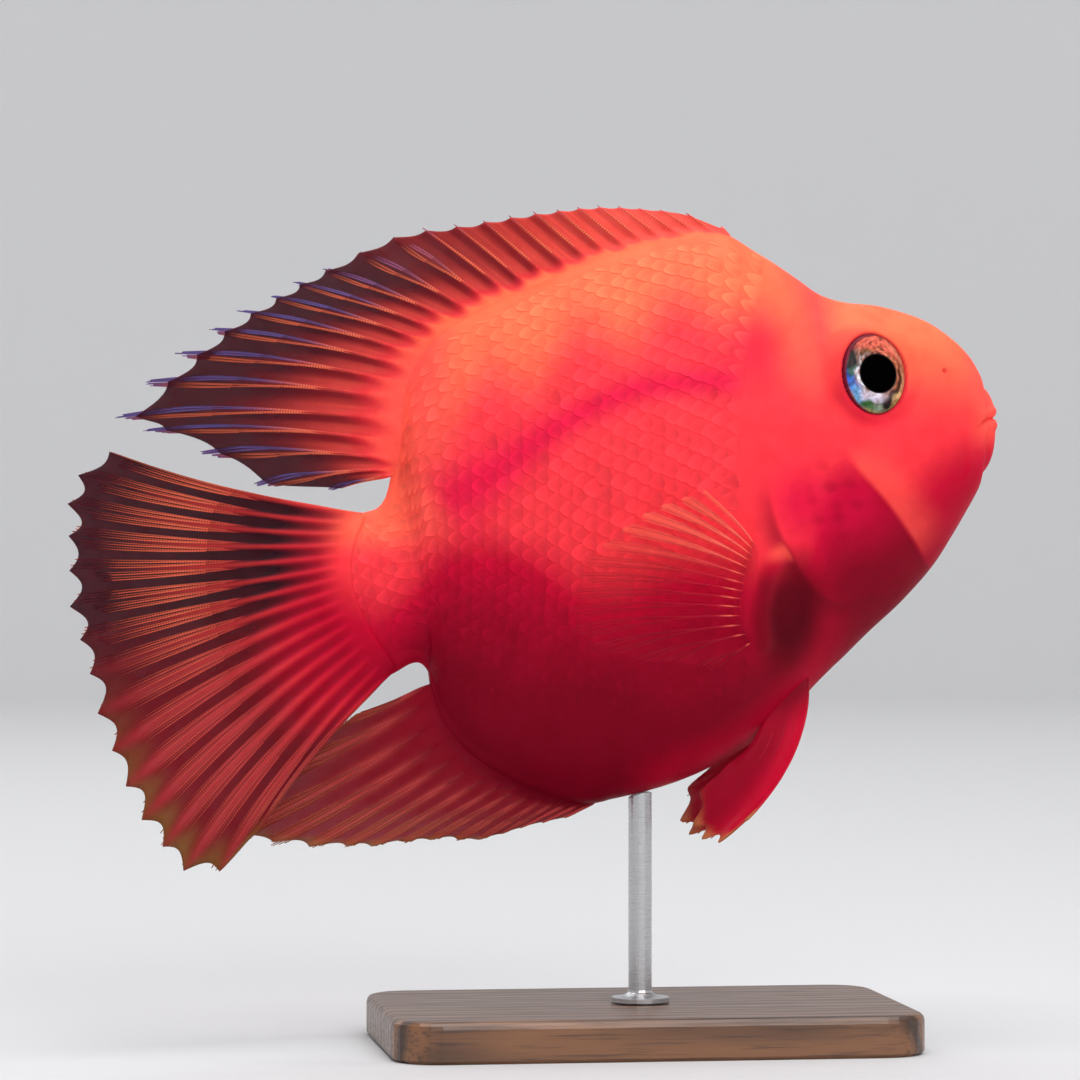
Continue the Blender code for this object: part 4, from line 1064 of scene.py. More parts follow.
def tubes(name, line, rows, fork, thick, colour, material, closing=0.0):
    """Sweeps a small ring along every strand. The ring stands on the strand's direction and on the cross
    product of that with Y. Its radius grows to thick past the root and falls to a fifth at the tip, and
    past the fork it is a little wider within the fin than across it. Every other thread is darker, and
    closing draws the halves' tips together."""
    place, start, first_lean, second_lean, third_lean, end = np.split(rows, 6, axis=1)
    share = start + (end - start) * np.linspace(0, 1, TUBE_STEPS)
    closed = 1 - closing * smooth(0.7, 1.05, share)
    for lean, begins in ((first_lean, fork - 0.15), (second_lean, fork), (third_lean, fork + 0.12)):
        place = place + lean * smooth(begins, begins + 0.5, share) * closed
    path = line(place, share)
    ahead = unit(np.gradient(path, axis=1))
    beside = unit(np.cross(ahead, (0.0, 1.0, 0.0)))
    above = np.cross(beside, ahead)
    run = np.cumsum(np.linalg.norm(np.diff(path, axis=1, prepend=path[:, :1]), axis=-1), axis=1)
    run = run + start * run[:, -1:] / np.maximum(end - start, 0.1)
    forked = smooth(fork - 0.05, fork + 0.25, share) * (first_lean != 0)
    radius = thick * (1 - 0.6 * np.clip(share, 0, 1)) * (1 - 0.5 * forked)
    radius = radius * (1 - 0.5 * smooth(0.9, 1.03, share)) * (0.4 + 0.6 * smooth(0.0, 0.2, share))
    turn = np.arange(TUBE_SIDES) * 2 * PI / TUBE_SIDES
    wide = np.cos(turn) * (1 + 0.3 * forked[..., None])
    ring = wide[..., None] * beside[..., None, :] + np.sin(turn)[:, None] * above[..., None, :]
    skinned = path[:, :, None, :] + ring * radius[:, :, None, None]
    count = len(rows)
    tips = np.stack([path[:, 0], path[:, -1] + ahead[:, -1] * radius[:, -1:] * 2], axis=1)
    points = np.concatenate([skinned.reshape(count, -1, 3), tips], axis=1)
    body, near_cap, far_cap = capped(TUBE_STEPS, TUBE_SIDES)
    offsets = (np.arange(count) * points.shape[1])[:, None, None]
    faces = [(part + offsets).reshape(-1, part.shape[1]) for part in (body, np.vstack([near_cap, far_cap]))]
    tint = colour(place, share, path, np.sign(first_lean))
    tint = tint * (1 - 0.4 * forked * (third_lean < 0))[..., None]

    def on_points(values):
        """A value for each step of a strand, given to its ring of points and to the two poles."""
        values = np.repeat(values, TUBE_SIDES, axis=1)
        return np.concatenate([values, values[:, :1], values[:, -1:]], axis=1)

    return piece(name, points, faces, material, {"tint": on_points(tint), "joints": on_points(run)})


print("steps along a strand", TUBE_STEPS)


# %% The web between the rays
def ridges(place):
    """1 on a ray and 0 between two."""
    return (0.5 + 0.5 * np.cos(2 * PI * place)) ** 2


def oval(rays, most):
    """A flesh for web(): most millimetres at the middle ray, falling as half an oval to both ends."""
    return lambda place: most * np.sqrt(np.clip(1 - (2 * place / (rays - 1) - 1) ** 2, 0.02, 1))


def crest(table, low):
    """A flesh for web(): a little less than half the trunk's thickness where the fin's root lies, so that
    one runs on into the other, and thin at the fin's rear end."""
    roots = straight_trunk(np.array([row[1] for row in table]), PI if low else 0.0, ROOT_SUNK)
    halves = [abs(float(straight_trunk(*flank_place(x, z))[1])) for x, _, z in roots]
    print("half thickness at the roots", np.round(halves, 1).tolist())
    marks, halves = [row[0] for row in table], np.clip(0.92 * np.array(halves) - 0.15, 0.3, 2.5)
    last = marks[-1]
    return lambda place: np.interp(place, marks, halves) * (0.25 + 0.75 * smooth(last, last - 4, place))


WEB_INSIDE = 0.6  # how far within the root a web starts, in millimetres


def web(name, line, rays, thin, flesh, rise, reach, colour, rows=30, per_ray=8, drawn=0.045, ridge=0.0):
    """A closed sheet: columns at even places between the first and the last ray, rows along them. Half its
    thickness is thin, plus flesh(place) that thins out as a square over its first rise millimetres, plus a
    ridge over each ray's root. reach(place) gives where the sheet ends, and between two rays its edge is
    drawn in."""
    place = np.linspace(0, rays - 1, (rays - 1) * per_ray + 1)
    share = np.linspace(0, 1, rows) ** 1.15
    between = np.abs(np.sin(PI * place))
    edge = reach(place) * (1 - drawn * between)
    place, share = np.meshgrid(place, share, indexing="ij")
    length = np.linalg.norm(line(place, 0 * share + 1) - line(place, 0 * share), axis=-1)
    inside = WEB_INSIDE / length
    share = share * (edge[:, None] + inside) - inside
    centre = line(place, share)
    outward = line(place, share + 0.01) - line(place, share - 0.01)
    sideways = line(place + 0.01, share) - line(place - 0.01, share)
    normal = unit(np.cross(outward, sideways))
    half = thin + flesh(place) * np.clip(1 - share * length / rise, 0, 1) ** 2
    half = half + ridge * ridges(place) * smooth(0.02, 0.1, share) * smooth(0.5, 0.28, share)
    near, far = centre + normal * half[..., None], centre - normal * half[..., None]
    faces = sheet_faces(*share.shape)
    points = np.vstack([near.reshape(-1, 3), far.reshape(-1, 3)])
    first, second, third = (points[faces[:, corner]] for corner in range(3))
    if np.einsum("ij,ij->i", first, np.cross(second, third)).sum() < 0:
        faces = faces[:, ::-1]
    tint, solid = colour(place, share, centre)
    tint, solid = np.vstack([tint.reshape(-1, 3)] * 2), np.tile(solid.reshape(-1), 2)
    return piece(name, points, [faces], WEB, {"tint": tint, "solid": solid})


# %% [markdown]
# The rays' joints are too small to build, so they are a shader effect: the distance along the ray, carried
# as an attribute, drives a sine that darkens and pinches it at each joint. The web's clearness is an
# attribute too, and feeds Alpha.

# %% Fin materials
JOINTS, given, result = new_group(
    "ray joints",
    {"Distance": "number", "Pitch": "number", "Tint": "colour", "Deep": "colour", "Amount": "number"},
    {"Color": "colour", "Height": "number"},
)
turns = calculate(JOINTS, "DIVIDE", given["Distance"], given["Pitch"])
wave = calculate(JOINTS, "SINE", calculate(JOINTS, "MULTIPLY", turns, 2 * PI))
pinched = ranged(JOINTS, wave, 0.35, 1.0)
darkened = calculate(JOINTS, "MULTIPLY", pinched, given["Amount"])
coloured = blend_colours(JOINTS, darkened, given["Tint"], given["Deep"])
feed(JOINTS, result, {"Color": coloured, "Height": calculate(JOINTS, "SUBTRACT", 1.0, pinched)})


def ray_material(name, deep, pitch, amount):
    """Jointed rays with a faint sheen, in the tint of their attribute."""
    made, tree, shader = new_material(name)
    looks = {"Distance": attribute(tree, "joints", "Fac"), "Pitch": pitch, "Amount": amount}
    looks.update({"Tint": attribute(tree, "tint", "Color"), "Deep": rgba(deep)})
    joints = use_group(tree, JOINTS, looks)
    feed(tree, shader, {
        "Base Color": joints["Color"],
        "Normal": grained(tree, joints["Height"], 0.5),
        "Roughness": 0.45,
        "Specular IOR Level": 0.12,
        "Subsurface Weight": 0.15,
        "Subsurface Radius": (1.0, 0.3, 0.2),
        "Subsurface Scale": 0.001,
    })
    return made


def web_material(name, deep):
    """Thin skin: tinted and mottled, with Alpha from the attribute solid."""
    made = living(
        name, deep, scale=260.0, amount=0.45, grain=2400.0, relief_depth=0.25, roughness=0.42, flesh=0.12
    )
    tree = made.node_tree
    pigment = next(item for item in tree.nodes if item.type == "GROUP")
    clear = ranged(tree, pigment.outputs["Cloud"], 0.0, 1.0, 0.95, 1.0)
    cover = calculate(tree, "MULTIPLY", attribute(tree, "solid", "Fac"), clear)
    feed(tree, tree.nodes["Principled BSDF"], {"Alpha": cover})
    return made


JOINT_PITCH = 0.62  # millimetres between two joints of a ray
WEB = web_material("fin web", PIGMENT_SHADE)
RAYS = ray_material("fin rays", linear(84, 18, 16), JOINT_PITCH, amount=0.75)
SOFT_RAYS = ray_material("paired fin rays", linear(196, 30, 44), JOINT_PITCH, amount=0.35)
RAY_ORANGE = linear(230, 104, 76)
RAY_BROWN = linear(172, 82, 56)
RAY_BLUE = linear(92, 84, 148)
RAY_RED = linear(226, 60, 56)
RAY_MAROON = linear(150, 40, 42)
WEB_MAROON = linear(112, 14, 30)
WEB_SMOKE = linear(46, 14, 26)
OLIVE = linear(120, 92, 44)
TAN = linear(190, 118, 70)
print("fin materials ready")


# %% What the fins share
def body_colour(points):
    """The flank's colour just behind the tail root, its painted shade included, so that flesh runs into the
    fin with no edge.
    """
    return flank_colour(np.full(points.shape[:-1], SKIN_END), points[..., 0], points[..., 2])


def flank_behind(points):
    """The flank's colour at the same place in side view, its painted shade included."""
    return flank_colour(np.full(points.shape[:-1], AT["shoulder"]), points[..., 0], points[..., 2])


def rippled(level, height, pace, wave=np.sin):
    """A reach for web(): the edge lies at level and ripples by height from ray to ray."""
    return lambda place: level + height * wave(pace * place)


def grow_fin(
    node, slot, line, looks, material, seed, rays, first_soft, fork, spread, beyond, thick,
    closing=0.0, first_end=None, **sheet,
):
    """Both pieces of a fin, its rays and its web. looks are their two colour functions, beyond says how far
    the rays may end past the web, first_end where the first ray ends, and sheet holds what web() needs."""
    rows = strands(rays, first_soft, fork, spread, beyond, np.random.default_rng(seed))
    if first_end:
        rows[0, 5] = first_end
    grown = tubes(node.replace("fin", "rays"), line, rows, fork, thick, looks[0], material, closing)
    dress(grown, slot, node)
    dress(web(node.replace("fin", "web"), line, rays, colour=looks[1], **sheet), slot, node)


# %% The dorsal fin
def dorsal_web_colour(place, share, points):
    """The back's orange at its root, coral over its front, brick red with maroon in the shade behind each
    ray, and smoky clear between the rear soft rays."""
    soft = smooth(9, 15, place)
    front = smooth(11, 3, place)
    phase = place % 1.0
    lit = np.maximum(smooth(0.25, 0.62, phase), smooth(0.12, 0.0, phase))
    share = share - 0.06 * (1 - np.abs(np.sin(PI * place))) + 0.03 * np.sin(2.4 * np.floor(place))
    fine = 0.5 + 0.5 * np.cos(8 * PI * phase + 2.0 * np.sin(3 * share + place))
    gap = painted(
        spread_over(CORAL, place),
        (linear(204, 66, 60), smooth(4, 13, place)),
        (WEB_MAROON, 0.25 * smooth(0.3, 1.0, share) * (1 - front)),
        (WEB_MAROON * 0.8, np.clip(1 - lit + 0.3 * fine, 0, 1) * (0.85 - 0.55 * front)),
    )
    tint = painted(
        spread_over(ORANGE, place),
        (CORAL, np.maximum(smooth(14, 20, place), smooth(0, 0.1, share))),
        (CARMINE * 0.9, smooth(0.01, 0.12, share) * 0.8 * (1 - front)),
        (gap, smooth(0.03, 0.2, share)),
        (WEB_SMOKE, soft * smooth(0.14, 0.5, share) * (1 - 0.25 * lit * smooth(0.7, 0.3, share))),
    )
    solid = 0.99 - smooth(0.25, 0.7, share) * (0.02 + 0.08 * soft)
    return tint, np.clip(solid, 0.1, 1)


def dorsal_ray_colour(place, share, points, fork):
    """Red at the root, then orange brown. Of a soft ray's two halves the upper turns blue violet."""
    soft = smooth(9, 17, place)
    return painted(
        spread_over(HOT_RED, place),
        (RAY_ORANGE, smooth(0.12, 0.4, share)),
        (CORAL, smooth(8, 2, place) * 0.6),
        (RAY_MAROON, smooth(0.5, 0.95, share) * 0.45 * (1 - soft) * smooth(1, 9, place)),
        (RAY_BROWN, smooth(0.5, 0.9, share) * soft * (fork > 0)),
        (RAY_BLUE, smooth(0.36, 0.6, share) * soft * (fork < 0)),
        (RAY_BLUE, smooth(0.84, 1.0, share) * (0.35 + 0.6 * soft)),
    )


def dorsal_reach(place):
    """The web ends sooner behind the spines, and the first spine hardly leaves the back."""
    return 1.0 - 0.085 * smooth(12, 20, place) - 0.5 * smooth(1.5, 0, place)


grow_fin(
    "dorsal_fin", "dorsal_fin", dorsal_line, (dorsal_ray_colour, dorsal_web_colour), RAYS, seed=21,
    rays=27, first_soft=13, fork=0.35, spread=0.14, beyond=0.04, thick=0.52, closing=0.6, first_end=0.5,
    thin=0.11, flesh=crest(DORSAL, False), rise=4.0, reach=dorsal_reach, ridge=0.3,
)


# %% The anal fin
def anal_web_colour(place, share, points):
    """Dark crimson by the belly, then folds of brick red and red brown, with an olive and tan edge."""
    fold = smooth(-0.4, 0.8, np.cos(2 * PI * place))
    tint = painted(
        flank_behind(points),
        (WEB_MAROON, smooth(0.05, 0.4, share)),
        (linear(166, 58, 56), fold * smooth(0.08, 0.4, share) * 0.8),
        (OLIVE, smooth(0.86, 1.0, share) * 0.7),
    )
    return tint, np.clip(0.98 - 0.12 * smooth(0.25, 0.9, share), 0.1, 1)


def anal_ray_colour(place, share, points, fork):
    """Dark crimson, then a brick red that turns brown towards the tips and the rear."""
    return painted(
        flank_behind(points),
        (linear(188, 62, 62), smooth(0.08, 0.4, share)),
        (RAY_BROWN * 0.8, smooth(0.3, 0.8, share) * smooth(1, 9, place) * 0.85),
        (OLIVE * 1.3, smooth(0.85, 1, share) * 0.6),
    )


anal_line = midline_rays(ANAL, True, -0.02, 0.2, 0.8)
grow_fin(
    "anal_fin", "lower_fins", anal_line, (anal_ray_colour, anal_web_colour), RAYS, seed=22,
    rays=15, first_soft=3, fork=0.3, spread=0.17, beyond=0.03, thick=0.56,
    thin=0.11, flesh=crest(ANAL, True), rise=4.0, reach=rippled(0.985, 0.015, 3.3), ridge=0.25,
)


# %% The tail fin
def tail_web_colour(place, share, points):
    """The body's colour over the root, dark clear web in the upper half, maroon in the lower half, and an
    olive lower margin."""
    low = smooth(5, 10, place)
    share = share - 0.11 * (1 - np.abs(np.sin(PI * place))) * smooth(0.05, 0.25, share)
    dark = towards(spread_over(WEB_SMOKE, place), WEB_MAROON * 0.8, low)
    streak = ridges(place) - 0.45
    tint = painted(
        body_colour(points),
        (CRIMSON * 0.9, smooth(0.01, 0.13, share) * 0.85),
        (dark, smooth(0.04 + 0.1 * low, 0.25 + 0.25 * low, share)),
        (RAY_RED, np.clip(streak, 0, 1) * 0.8 * smooth(0.04, 0.2, share) * smooth(0.7, 0.4, share)),
    )
    shade = 0.75 * np.clip(-streak, 0, 1) * smooth(0.02, 0.14, share) * smooth(0.9, 0.4, share)
    fold = smooth(-0.2, 0.8, np.cos(2 * PI * place)) * low
    tint = painted(
        tint * (1 - shade)[..., None],
        (linear(172, 52, 58), fold * smooth(0.1, 0.4, share) * smooth(1.0, 0.7, share) * 0.7),
        (OLIVE * 0.8, smooth(0.8, 1.0, share) * smooth(6, 12, place)),
    )
    return tint, np.clip(0.99 - (0.09 - 0.04 * low) * smooth(0.16, 0.6, share), 0.1, 1)


def tail_ray_colour(place, share, points, fork):
    """The body's colour at the root, then red, orange and brown, redder in the lower half."""
    low = smooth(5, 10, place)
    return painted(
        body_colour(points),
        (RAY_RED, smooth(0.04, 0.2, share) * (0.9 - 0.2 * low)),
        (towards(spread_over(RAY_ORANGE, place), linear(196, 62, 62), low), smooth(0.34, 0.62, share)),
        (RAY_BROWN, smooth(0.55, 0.95, share) * 0.8),
        (OLIVE * 1.2, smooth(0.85, 1, share) * smooth(8, 13, place) * 0.6),
    )


grow_fin(
    "tail_fin", "lower_fins", tail_rays(), (tail_ray_colour, tail_web_colour), RAYS, seed=23,
    rays=16, first_soft=0, fork=0.2, spread=0.2, beyond=0.01, thick=0.56,
    thin=0.12, flesh=oval(16, 4.6), rise=21.0, reach=rippled(0.998, 0.006, 4.1), ridge=0.4,
    rows=44, per_ray=10,
)


# %% The paired fins
def pectoral_web_colour(place, share, points):
    """Almost clear over a fleshy root, clearest at its lower rays, with soft coral streaks at its upper
    rays."""
    streak = smooth(-0.2, 0.9, np.cos(2 * PI * place)) * smooth(7, 3, place) * smooth(0.15, 0.4, share)
    behind = flank_behind(points)
    tint = painted(
        spread_over(CORAL, place),
        (HOT_RED, smooth(0.02, 0.2, share)),
        (behind, smooth(1.5, 4, place)),
        (linear(255, 104, 88), streak),
    )
    solid = 0.9 - 0.74 * smooth(0.0, 0.14, share) - 0.08 * smooth(0.4, 1, share) + 0.5 * streak
    return towards(behind, tint, smooth(0.05, 0.16, share)), np.clip(solid, 0.06, 1)


def pectoral_ray_colour(place, share, points, fork):
    """Short coral dashes at the roots, and coral on along the upper rays only: the lower ones take the
    flank's colour behind them, its painted shade included, and painted shade darkens them further."""
    behind = flank_behind(points)
    hidden = np.maximum(smooth(2, 6, place), 0.25) * smooth(0.1, 0.2, share)
    return painted(
        behind,
        (linear(255, 120, 100), smooth(0.04, 0.13, share)),
        # painted shade on the lower rays
        (behind * (1 - 0.25 * smooth(3, 7, place))[..., None], hidden),
    )


def pelvic_tone(place, share, points, low, rear):
    """The belly's red at its root, crimson further down, darker behind the leading edge, with a tan tip."""
    tint = towards(spread_over(CRIMSON, place), low, smooth(*rear, place))
    tint = towards(flank_behind(points), tint, smooth(0.02, 0.3, share))
    return towards(tint, TAN, smooth(0.9, 0.98, share) * smooth(4.2, 2.5, place))


def pelvic_web_colour(place, share, points):
    """The shared tone, with a nearly solid web."""
    tint = pelvic_tone(place, share, points, DARK_CRIMSON * 0.9, (0.6, 3))
    return tint, np.clip(0.99 - 0.1 * smooth(0.6, 1, share), 0.1, 1)


def pelvic_ray_colour(place, share, points, fork):
    """The shared tone, which darkens sooner."""
    return pelvic_tone(place, share, points, DARK_CRIMSON, (0.5, 2))


for side, word in ((-1, "right"), (1, "left")):
    grow_fin(
        "pectoral_fin_" + word, "pectoral_fins", paired_rays(PECTORAL, side, 0.10, 0.03),
        (pectoral_ray_colour, pectoral_web_colour), SOFT_RAYS, seed=24,
        rays=14, first_soft=1, fork=0.35, spread=0.2, beyond=0.0, thick=0.24,
        thin=0.09, flesh=oval(14, 0.5), rise=7.0, reach=rippled(0.97, 0.0, 0.0), drawn=0.03,
    )
    grow_fin(
        "pelvic_fin_" + word, "lower_fins", paired_rays(PELVIC, side, 0.06, -0.10),
        (pelvic_ray_colour, pelvic_web_colour), SOFT_RAYS, seed=25,
        rays=6, first_soft=1, fork=0.5, spread=0.2, beyond=0.0, thick=0.45,
        thin=0.3, flesh=oval(6, 0.9), rise=7.0, reach=rippled(0.965, 0.03, 2 * PI, np.cos), drawn=0.015,
    )


# %% [markdown]
# The eyes. A fish has no lids: a flecked iris ring lies round a black pupil, through which the round lens
# bulges. The iris is a turned surface with a raised inner lip and outer rim. Its colours change with the
# turn about the pupil (orange above, silver blue behind and below, gold in front), and waves in angle and
# radius break them into flecks.

# %% Iris and pupil
PUPIL_RADIUS, PUPIL_SWELL = 4.35, 1.5
IRIS_RINGS, IRIS_SIDES = 30, 128


def iris_height(radius):
    """A low cone that rises towards the pupil, with a lip at the pupil and a rolled outer rim."""
    share = radius / EYE_RADIUS
    cone = 1.9 * (1 - share**2.2) + 0.65
    lip = 0.18 * bump(PUPIL_RADIUS + 0.35, 0.3, radius)
    return cone + lip + 0.12 * bump(8.4, 0.4, radius) - 3.0 * smooth(8.8, 9.5, radius)


IRIS_SPOTS = [  # degrees round from the nose, their half width, radius, its half width, colour, strength
    (95, 75, 6.8, 3.0, linear(232, 108, 88), 1.0),
    (128, 34, 5.2, 1.0, linear(104, 76, 36), 0.9),
    (146, 16, 6.4, 0.7, linear(246, 190, 160), 0.8),
    (188, 30, 7.0, 1.3, linear(46, 80, 206), 1.0),
    (172, 14, 6.2, 1.0, linear(60, 128, 96), 0.9),
    (224, 22, 6.9, 1.2, linear(100, 176, 236), 1.0),
    (262, 34, 6.0, 0.9, linear(226, 216, 244), 1.0),
    (250, 18, 7.4, 0.9, linear(52, 104, 46), 1.0),
    (275, 12, 7.5, 0.8, linear(120, 168, 150), 0.8),
    (200, 60, 4.85, 0.38, linear(236, 238, 248), 1.0),
    (258, 30, 4.9, 0.6, linear(240, 234, 252), 1.0),
    (325, 34, 7.2, 0.6, linear(240, 226, 150), 1.0),
    (0, 44, 7.5, 0.5, linear(214, 140, 110), 0.9),
    (8, 60, 4.9, 0.4, linear(226, 140, 100), 0.9),
    (154, 22, 7.2, 1.6, linear(2, 1, 2), 1.0),
    (292, 14, 6.9, 1.1, linear(8, 6, 6), 1.0),
    (340, 46, 5.8, 0.8, linear(56, 34, 18), 0.9),
]


def iris_colour(radius, turn):
    """turn is 0 towards the nose and a quarter turn upwards. Over a brown ground each spot of the table adds
    its colour by a bump in angle times a bump in radius, and waves of both break all of it into flecks."""
    tint = spread_over(linear(128, 84, 58), radius)
    tint = towards(tint, linear(176, 152, 84), smooth(7.6, 8.2, radius) * 0.8)
    ragged = radius + 0.35 * np.sin(7 * turn + 1.3) + 0.25 * np.sin(12 * turn)
    for angle, wide, ring, deep, colour, strength in IRIS_SPOTS:
        apart = np.abs((turn - math.radians(angle) + PI) % (2 * PI) - PI)
        near = bump(0, 1, apart / math.radians(wide)) * bump(0, 1, (ragged - ring) / deep)
        tint = towards(tint, colour, strength * np.clip(1.5 * near, 0, 1))
    flecks = np.sin(9 * turn + 2.2 * np.sin(3 * turn + radius)) * np.sin(2.6 * radius + 4 * np.cos(2 * turn))
    flecks = flecks + 0.6 * np.sin(17 * turn + 3.1 * radius) * np.sin(5.3 * radius - 2 * turn)
    # the iris's dark red outer rim, widened on its rear side by painted shade
    start = 8.4 - 0.6 * np.clip(np.cos(turn - 2.9), 0, 1)
    return painted(
        tint,
        (linear(60, 22, 18), smooth(0.2, 1.0, flecks) * (0.3 + 0.45 * smooth(-0.2, 0.7, np.sin(turn)))),
        (linear(112, 4, 36), smooth(start, start + 0.4, radius)),
        (linear(8, 4, 6), smooth(PUPIL_RADIUS + 0.15, PUPIL_RADIUS - 0.05, radius)),
    )


def pupil_colour(radius, turn):
    """The same near black at every place."""
    return np.full((*radius.shape, 3), 0.0005)


def turned_dome(name, side, radii, heights, colour, material, slot, node):
    """Rings of points about the eye's axis, nearly round at the pupil and oval at the rim, closed at its
    front by a pole and at its back by a flat fan."""
    centre, outward, nose, up = eye_axes(side)
    turn = np.arange(IRIS_SIDES) * 2 * PI / IRIS_SIDES
    wide = radii * np.interp(radii, [PUPIL_RADIUS, EYE_RADIUS], [1.14, EYE_OVAL])
    flat = wide[:, None, None] * np.cos(turn)[:, None] * nose
    flat = flat + radii[:, None, None] * np.sin(turn)[:, None] * up
    points = centre + flat + outward * heights[:, None, None]
    poles = centre + outward * np.array([heights[0], heights[-1]])[:, None]
    faces = capped(len(radii), IRIS_SIDES)
    if np.cross(nose, up) @ outward <= 0:
        faces = [part[:, ::-1] for part in faces]
    tint = colour(*np.meshgrid(radii, turn, indexing="ij"))
    tint = np.vstack([tint.reshape(-1, 3), tint[0, :1], tint[-1, :1]])
    points = np.vstack([points.reshape(-1, 3), poles])
    dress(piece(name, points, faces, material, {"tint": tint}), slot, node)


def eye_material(name, deep, scale, amount, roughness, coat, specular):
    """The iris or the pupil: hardly any gloss, fine grain, and no light scattered inside."""
    made = living(name, deep, scale, amount, 4000.0, 0.3, roughness, flesh=0.0, coat=coat)
    gloss = {"Specular IOR Level": specular, "Coat Roughness": 0.04}
    feed(made.node_tree, made.node_tree.nodes["Principled BSDF"], gloss)
    return made


IRIS = eye_material("iris", linear(150, 96, 70), 900.0, 0.9, roughness=0.4, coat=0.06, specular=0.15)
PUPIL = eye_material("pupil", linear(0, 0, 0), 200.0, 0.0, roughness=0.06, coat=0.0, specular=0.0)
for side, word in ((-1, "right"), (1, "left")):
    radii = np.linspace(PUPIL_RADIUS - 0.6, 9.3, IRIS_RINGS)
    radii, heights = np.append(radii, 7.0), np.append(iris_height(radii), -4.0)
    turned_dome("iris_" + word, side, radii, heights, iris_colour, IRIS, "iris", "eye_" + word)
    turns = np.linspace(0.06, PI / 2, 18)
    radii = np.append(PUPIL_RADIUS * np.sin(turns), PUPIL_RADIUS - 0.4)
    heights = np.append(1.75 + PUPIL_SWELL * np.cos(turns), 0.6)
    turned_dome("lens_" + word, side, radii, heights, pupil_colour, PUPIL, "pupil", "pupil_" + word)


# %% [markdown]
# The stand. Its two solids already have the right shape, so they stay and only get materials: oiled walnut
# with growth rings stretched along the board, and brushed steel with fine rings round the rod.

# %% Walnut and steel
def walnut():
    """Growth rings: a wave across the board, bent by stretched noise, with fine pores over it."""
    made, tree, shader = new_material("oiled walnut")
    place = object_place(tree)
    board = {"Vector": stretched(tree, place, (3.0, 26.0, 20.0)), "Scale": 2.2, "Distortion": 8.0}
    rings = add_node(tree, "ShaderNodeTexWave", {**board, "Detail": 3.0, "Detail Scale": 0.8})
    rings.bands_direction = "Y"
    pores = noise(tree, stretched(tree, place, (60.0, 1400.0, 1400.0)), 1.0, 4.0)
    dark, light, pore = (rgba(linear(*tone)) for tone in ((62, 38, 24), (122, 80, 50), (38, 22, 14)))
    grain = blend_colours(tree, ranged(tree, rings.outputs["Fac"], 0.1, 0.9), dark, light)
    feed(tree, shader, {
        "Base Color": blend_colours(tree, ranged(tree, pores, 0.5, 0.7, 0.0, 0.65), grain, pore),
        "Normal": grained(tree, pores, 0.25),
        "Roughness": ranged(tree, pores, 0.3, 0.7, 0.32, 0.5),
        "Coat Weight": 0.25,
        "Coat Roughness": 0.2,
    })
    return made


def brushed_steel():
    """Fine rings round an upright rod: noise squeezed in height."""
    made, tree, shader = new_material("brushed steel rod")
    lines = noise(tree, stretched(tree, object_place(tree), (80.0, 80.0, 5200.0)), 1.0, 3.0)
    feed(tree, shader, {
        "Base Color": blend_colours(tree, lines, (0.42, 0.42, 0.43, 1), (0.68, 0.68, 0.69, 1)),
        "Roughness": ranged(tree, lines, 0.3, 0.7, 0.22, 0.4),
        "Normal": grained(tree, lines, 0.15, 0.0001),
        "Metallic": 1.0,
    })
    return made


for name, material in (("stand_base", walnut()), ("stand_rod", brushed_steel())):
    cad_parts[name].data.materials[0] = material
    print(name, material.name)


# %% [markdown]
# The studio. The picture was taken from the fish's right side and a little from behind, level with it.
# The light comes mostly from above, so a large soft panel hangs over the fish, a weaker one stands beside
# the camera, and a pale floor runs off to a pale background.

# %% Floor and light
def floor():
    """A round floor whose edge sweeps up into a wall: radius and height follow a quarter circle there."""
    flat, sweep, wall = 2.2, 0.9, 2.4
    turns = np.linspace(0, PI / 2, 16)
    radii = np.concatenate([[0.02, 0.5, 1.2], flat + sweep * np.sin(turns), [flat + sweep]]) / MM
    heights = np.concatenate([[0, 0, 0], sweep * (1 - np.cos(turns)), [wall]]) / MM
    sides = 96
    around = np.arange(sides) * 2 * PI / sides
    x, y = radii[:, None] * np.cos(around), radii[:, None] * np.sin(around)
    points = np.stack([x, y, np.broadcast_to(heights[:, None], x.shape)], axis=-1).reshape(-1, 3)
    quads = grid_faces(len(radii), sides, closed=True)[:, ::-1]
    disc = fan(np.arange(sides), len(points))
    piece("floor", np.vstack([points, (0, 0, 0)]), [quads, disc], floor_material())


def floor_material():
    made, tree, shader = new_material("pale floor")
    feed(tree, shader, {"Base Color": (0.56, 0.56, 0.57, 1.0), "Roughness": 0.7})
    return made


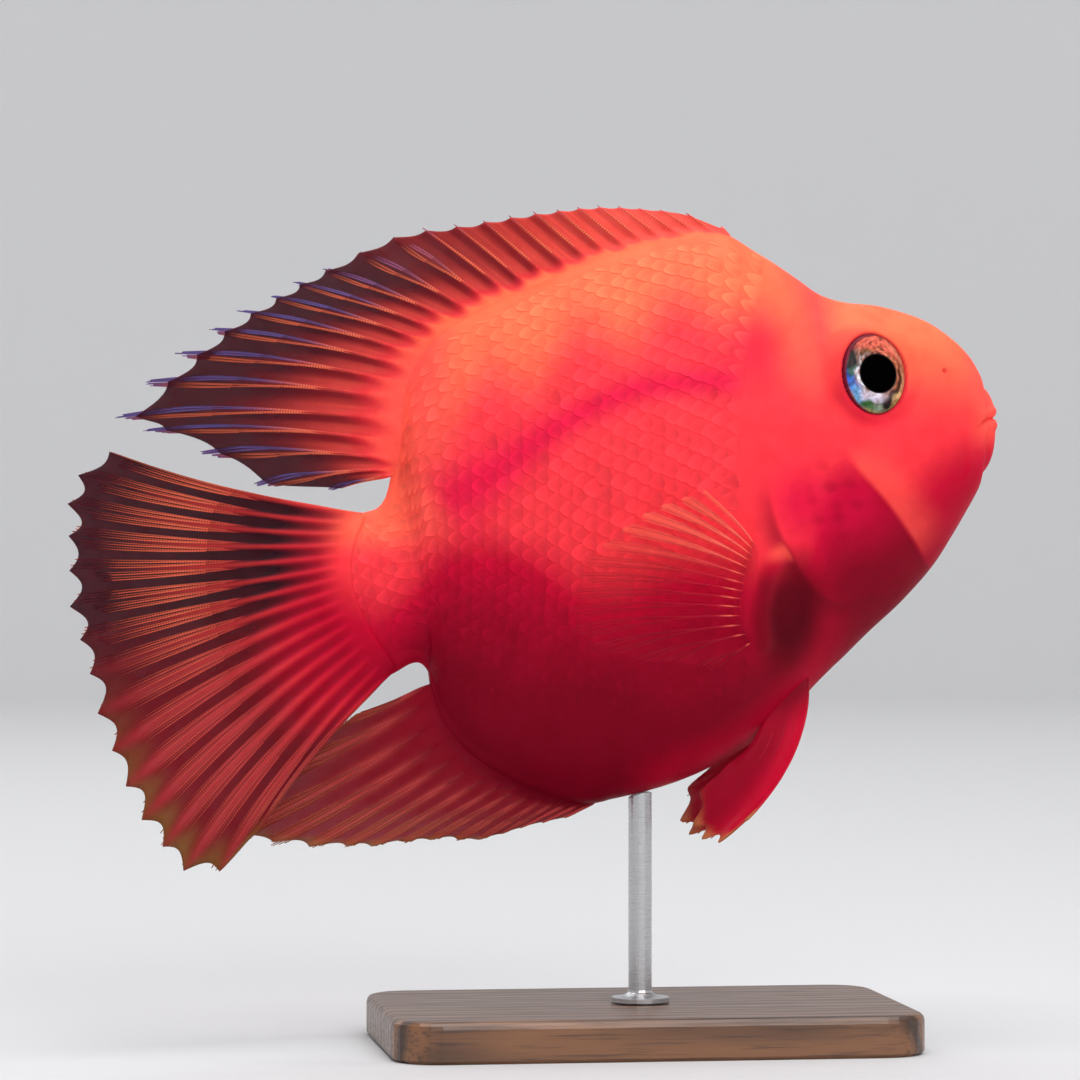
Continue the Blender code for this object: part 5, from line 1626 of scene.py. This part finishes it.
def soft_panel(name, place, target, width, height, power):
    """An area light at place that faces target."""
    light = bpy.data.lights.new(name, "AREA")
    light.shape, light.size, light.size_y, light.energy = "RECTANGLE", width, height, power
    made = bpy.data.objects.new(name, light)
    bpy.context.scene.collection.objects.link(made)
    made.location = place
    made.rotation_euler = direction(np.array(place) - np.array(target))


def direction(back):
    """Turns that make an object's -Z look along -back, with its Y up."""
    flat = math.hypot(back[0], back[1])
    return (math.atan2(flat, back[2]), 0.0, math.atan2(back[0], -back[1]))


def surroundings(colour, strength):
    world = bpy.data.worlds.new("studio")
    world.use_nodes = True
    feed(world.node_tree, world.node_tree.nodes["Background"], {"Color": colour, "Strength": strength})
    bpy.context.scene.world = world


floor()
CENTRE = (-0.02, 0.0, 0.11)
soft_panel("overhead", (0.0, -0.25, 1.5), CENTRE, 1.2, 0.9, 11.0)
soft_panel("beside_camera", (0.3, -1.3, 0.9), CENTRE, 0.8, 0.8, 11.0)
soft_panel("behind", (-0.6, 1.1, 1.0), CENTRE, 0.9, 0.6, 3.0)
soft_panel("room", (0.0, 0.0, 3.2), CENTRE, 3.0, 3.0, 22.0)
for quarter in range(4):
    away = np.array([math.cos(quarter * PI / 2), math.sin(quarter * PI / 2), 0.0])
    soft_panel("wall_" + str(quarter), away * 1.2 + (0, 0, 2.3), away * 3.1 + (0, 0, 0.5), 1.6, 0.5, 26.0)
surroundings((0.9, 0.92, 0.95, 1.0), 0.2)

# %% The camera
CAMERA_AZIMUTH = -8.0
CAMERA_AIM = (-0.0223, 0.0, 0.1111)
CAMERA_DISTANCE = 1.0
FRAME_WIDTH = 0.2376
camera = bpy.data.cameras.new("camera")
camera.sensor_width = 36.0
camera.lens = camera.sensor_width * CAMERA_DISTANCE / FRAME_WIDTH
viewer = bpy.data.objects.new("camera", camera)
bpy.context.scene.collection.objects.link(viewer)
azimuth = math.radians(CAMERA_AZIMUTH)
back = np.array([math.sin(azimuth), -math.cos(azimuth), 0.0])
viewer.location = np.array(CAMERA_AIM) + back * CAMERA_DISTANCE
viewer.rotation_euler = direction(back)
bpy.context.scene.camera = viewer
bpy.context.scene.view_settings.view_transform = "Standard"
print("lens", round(camera.lens, 1))
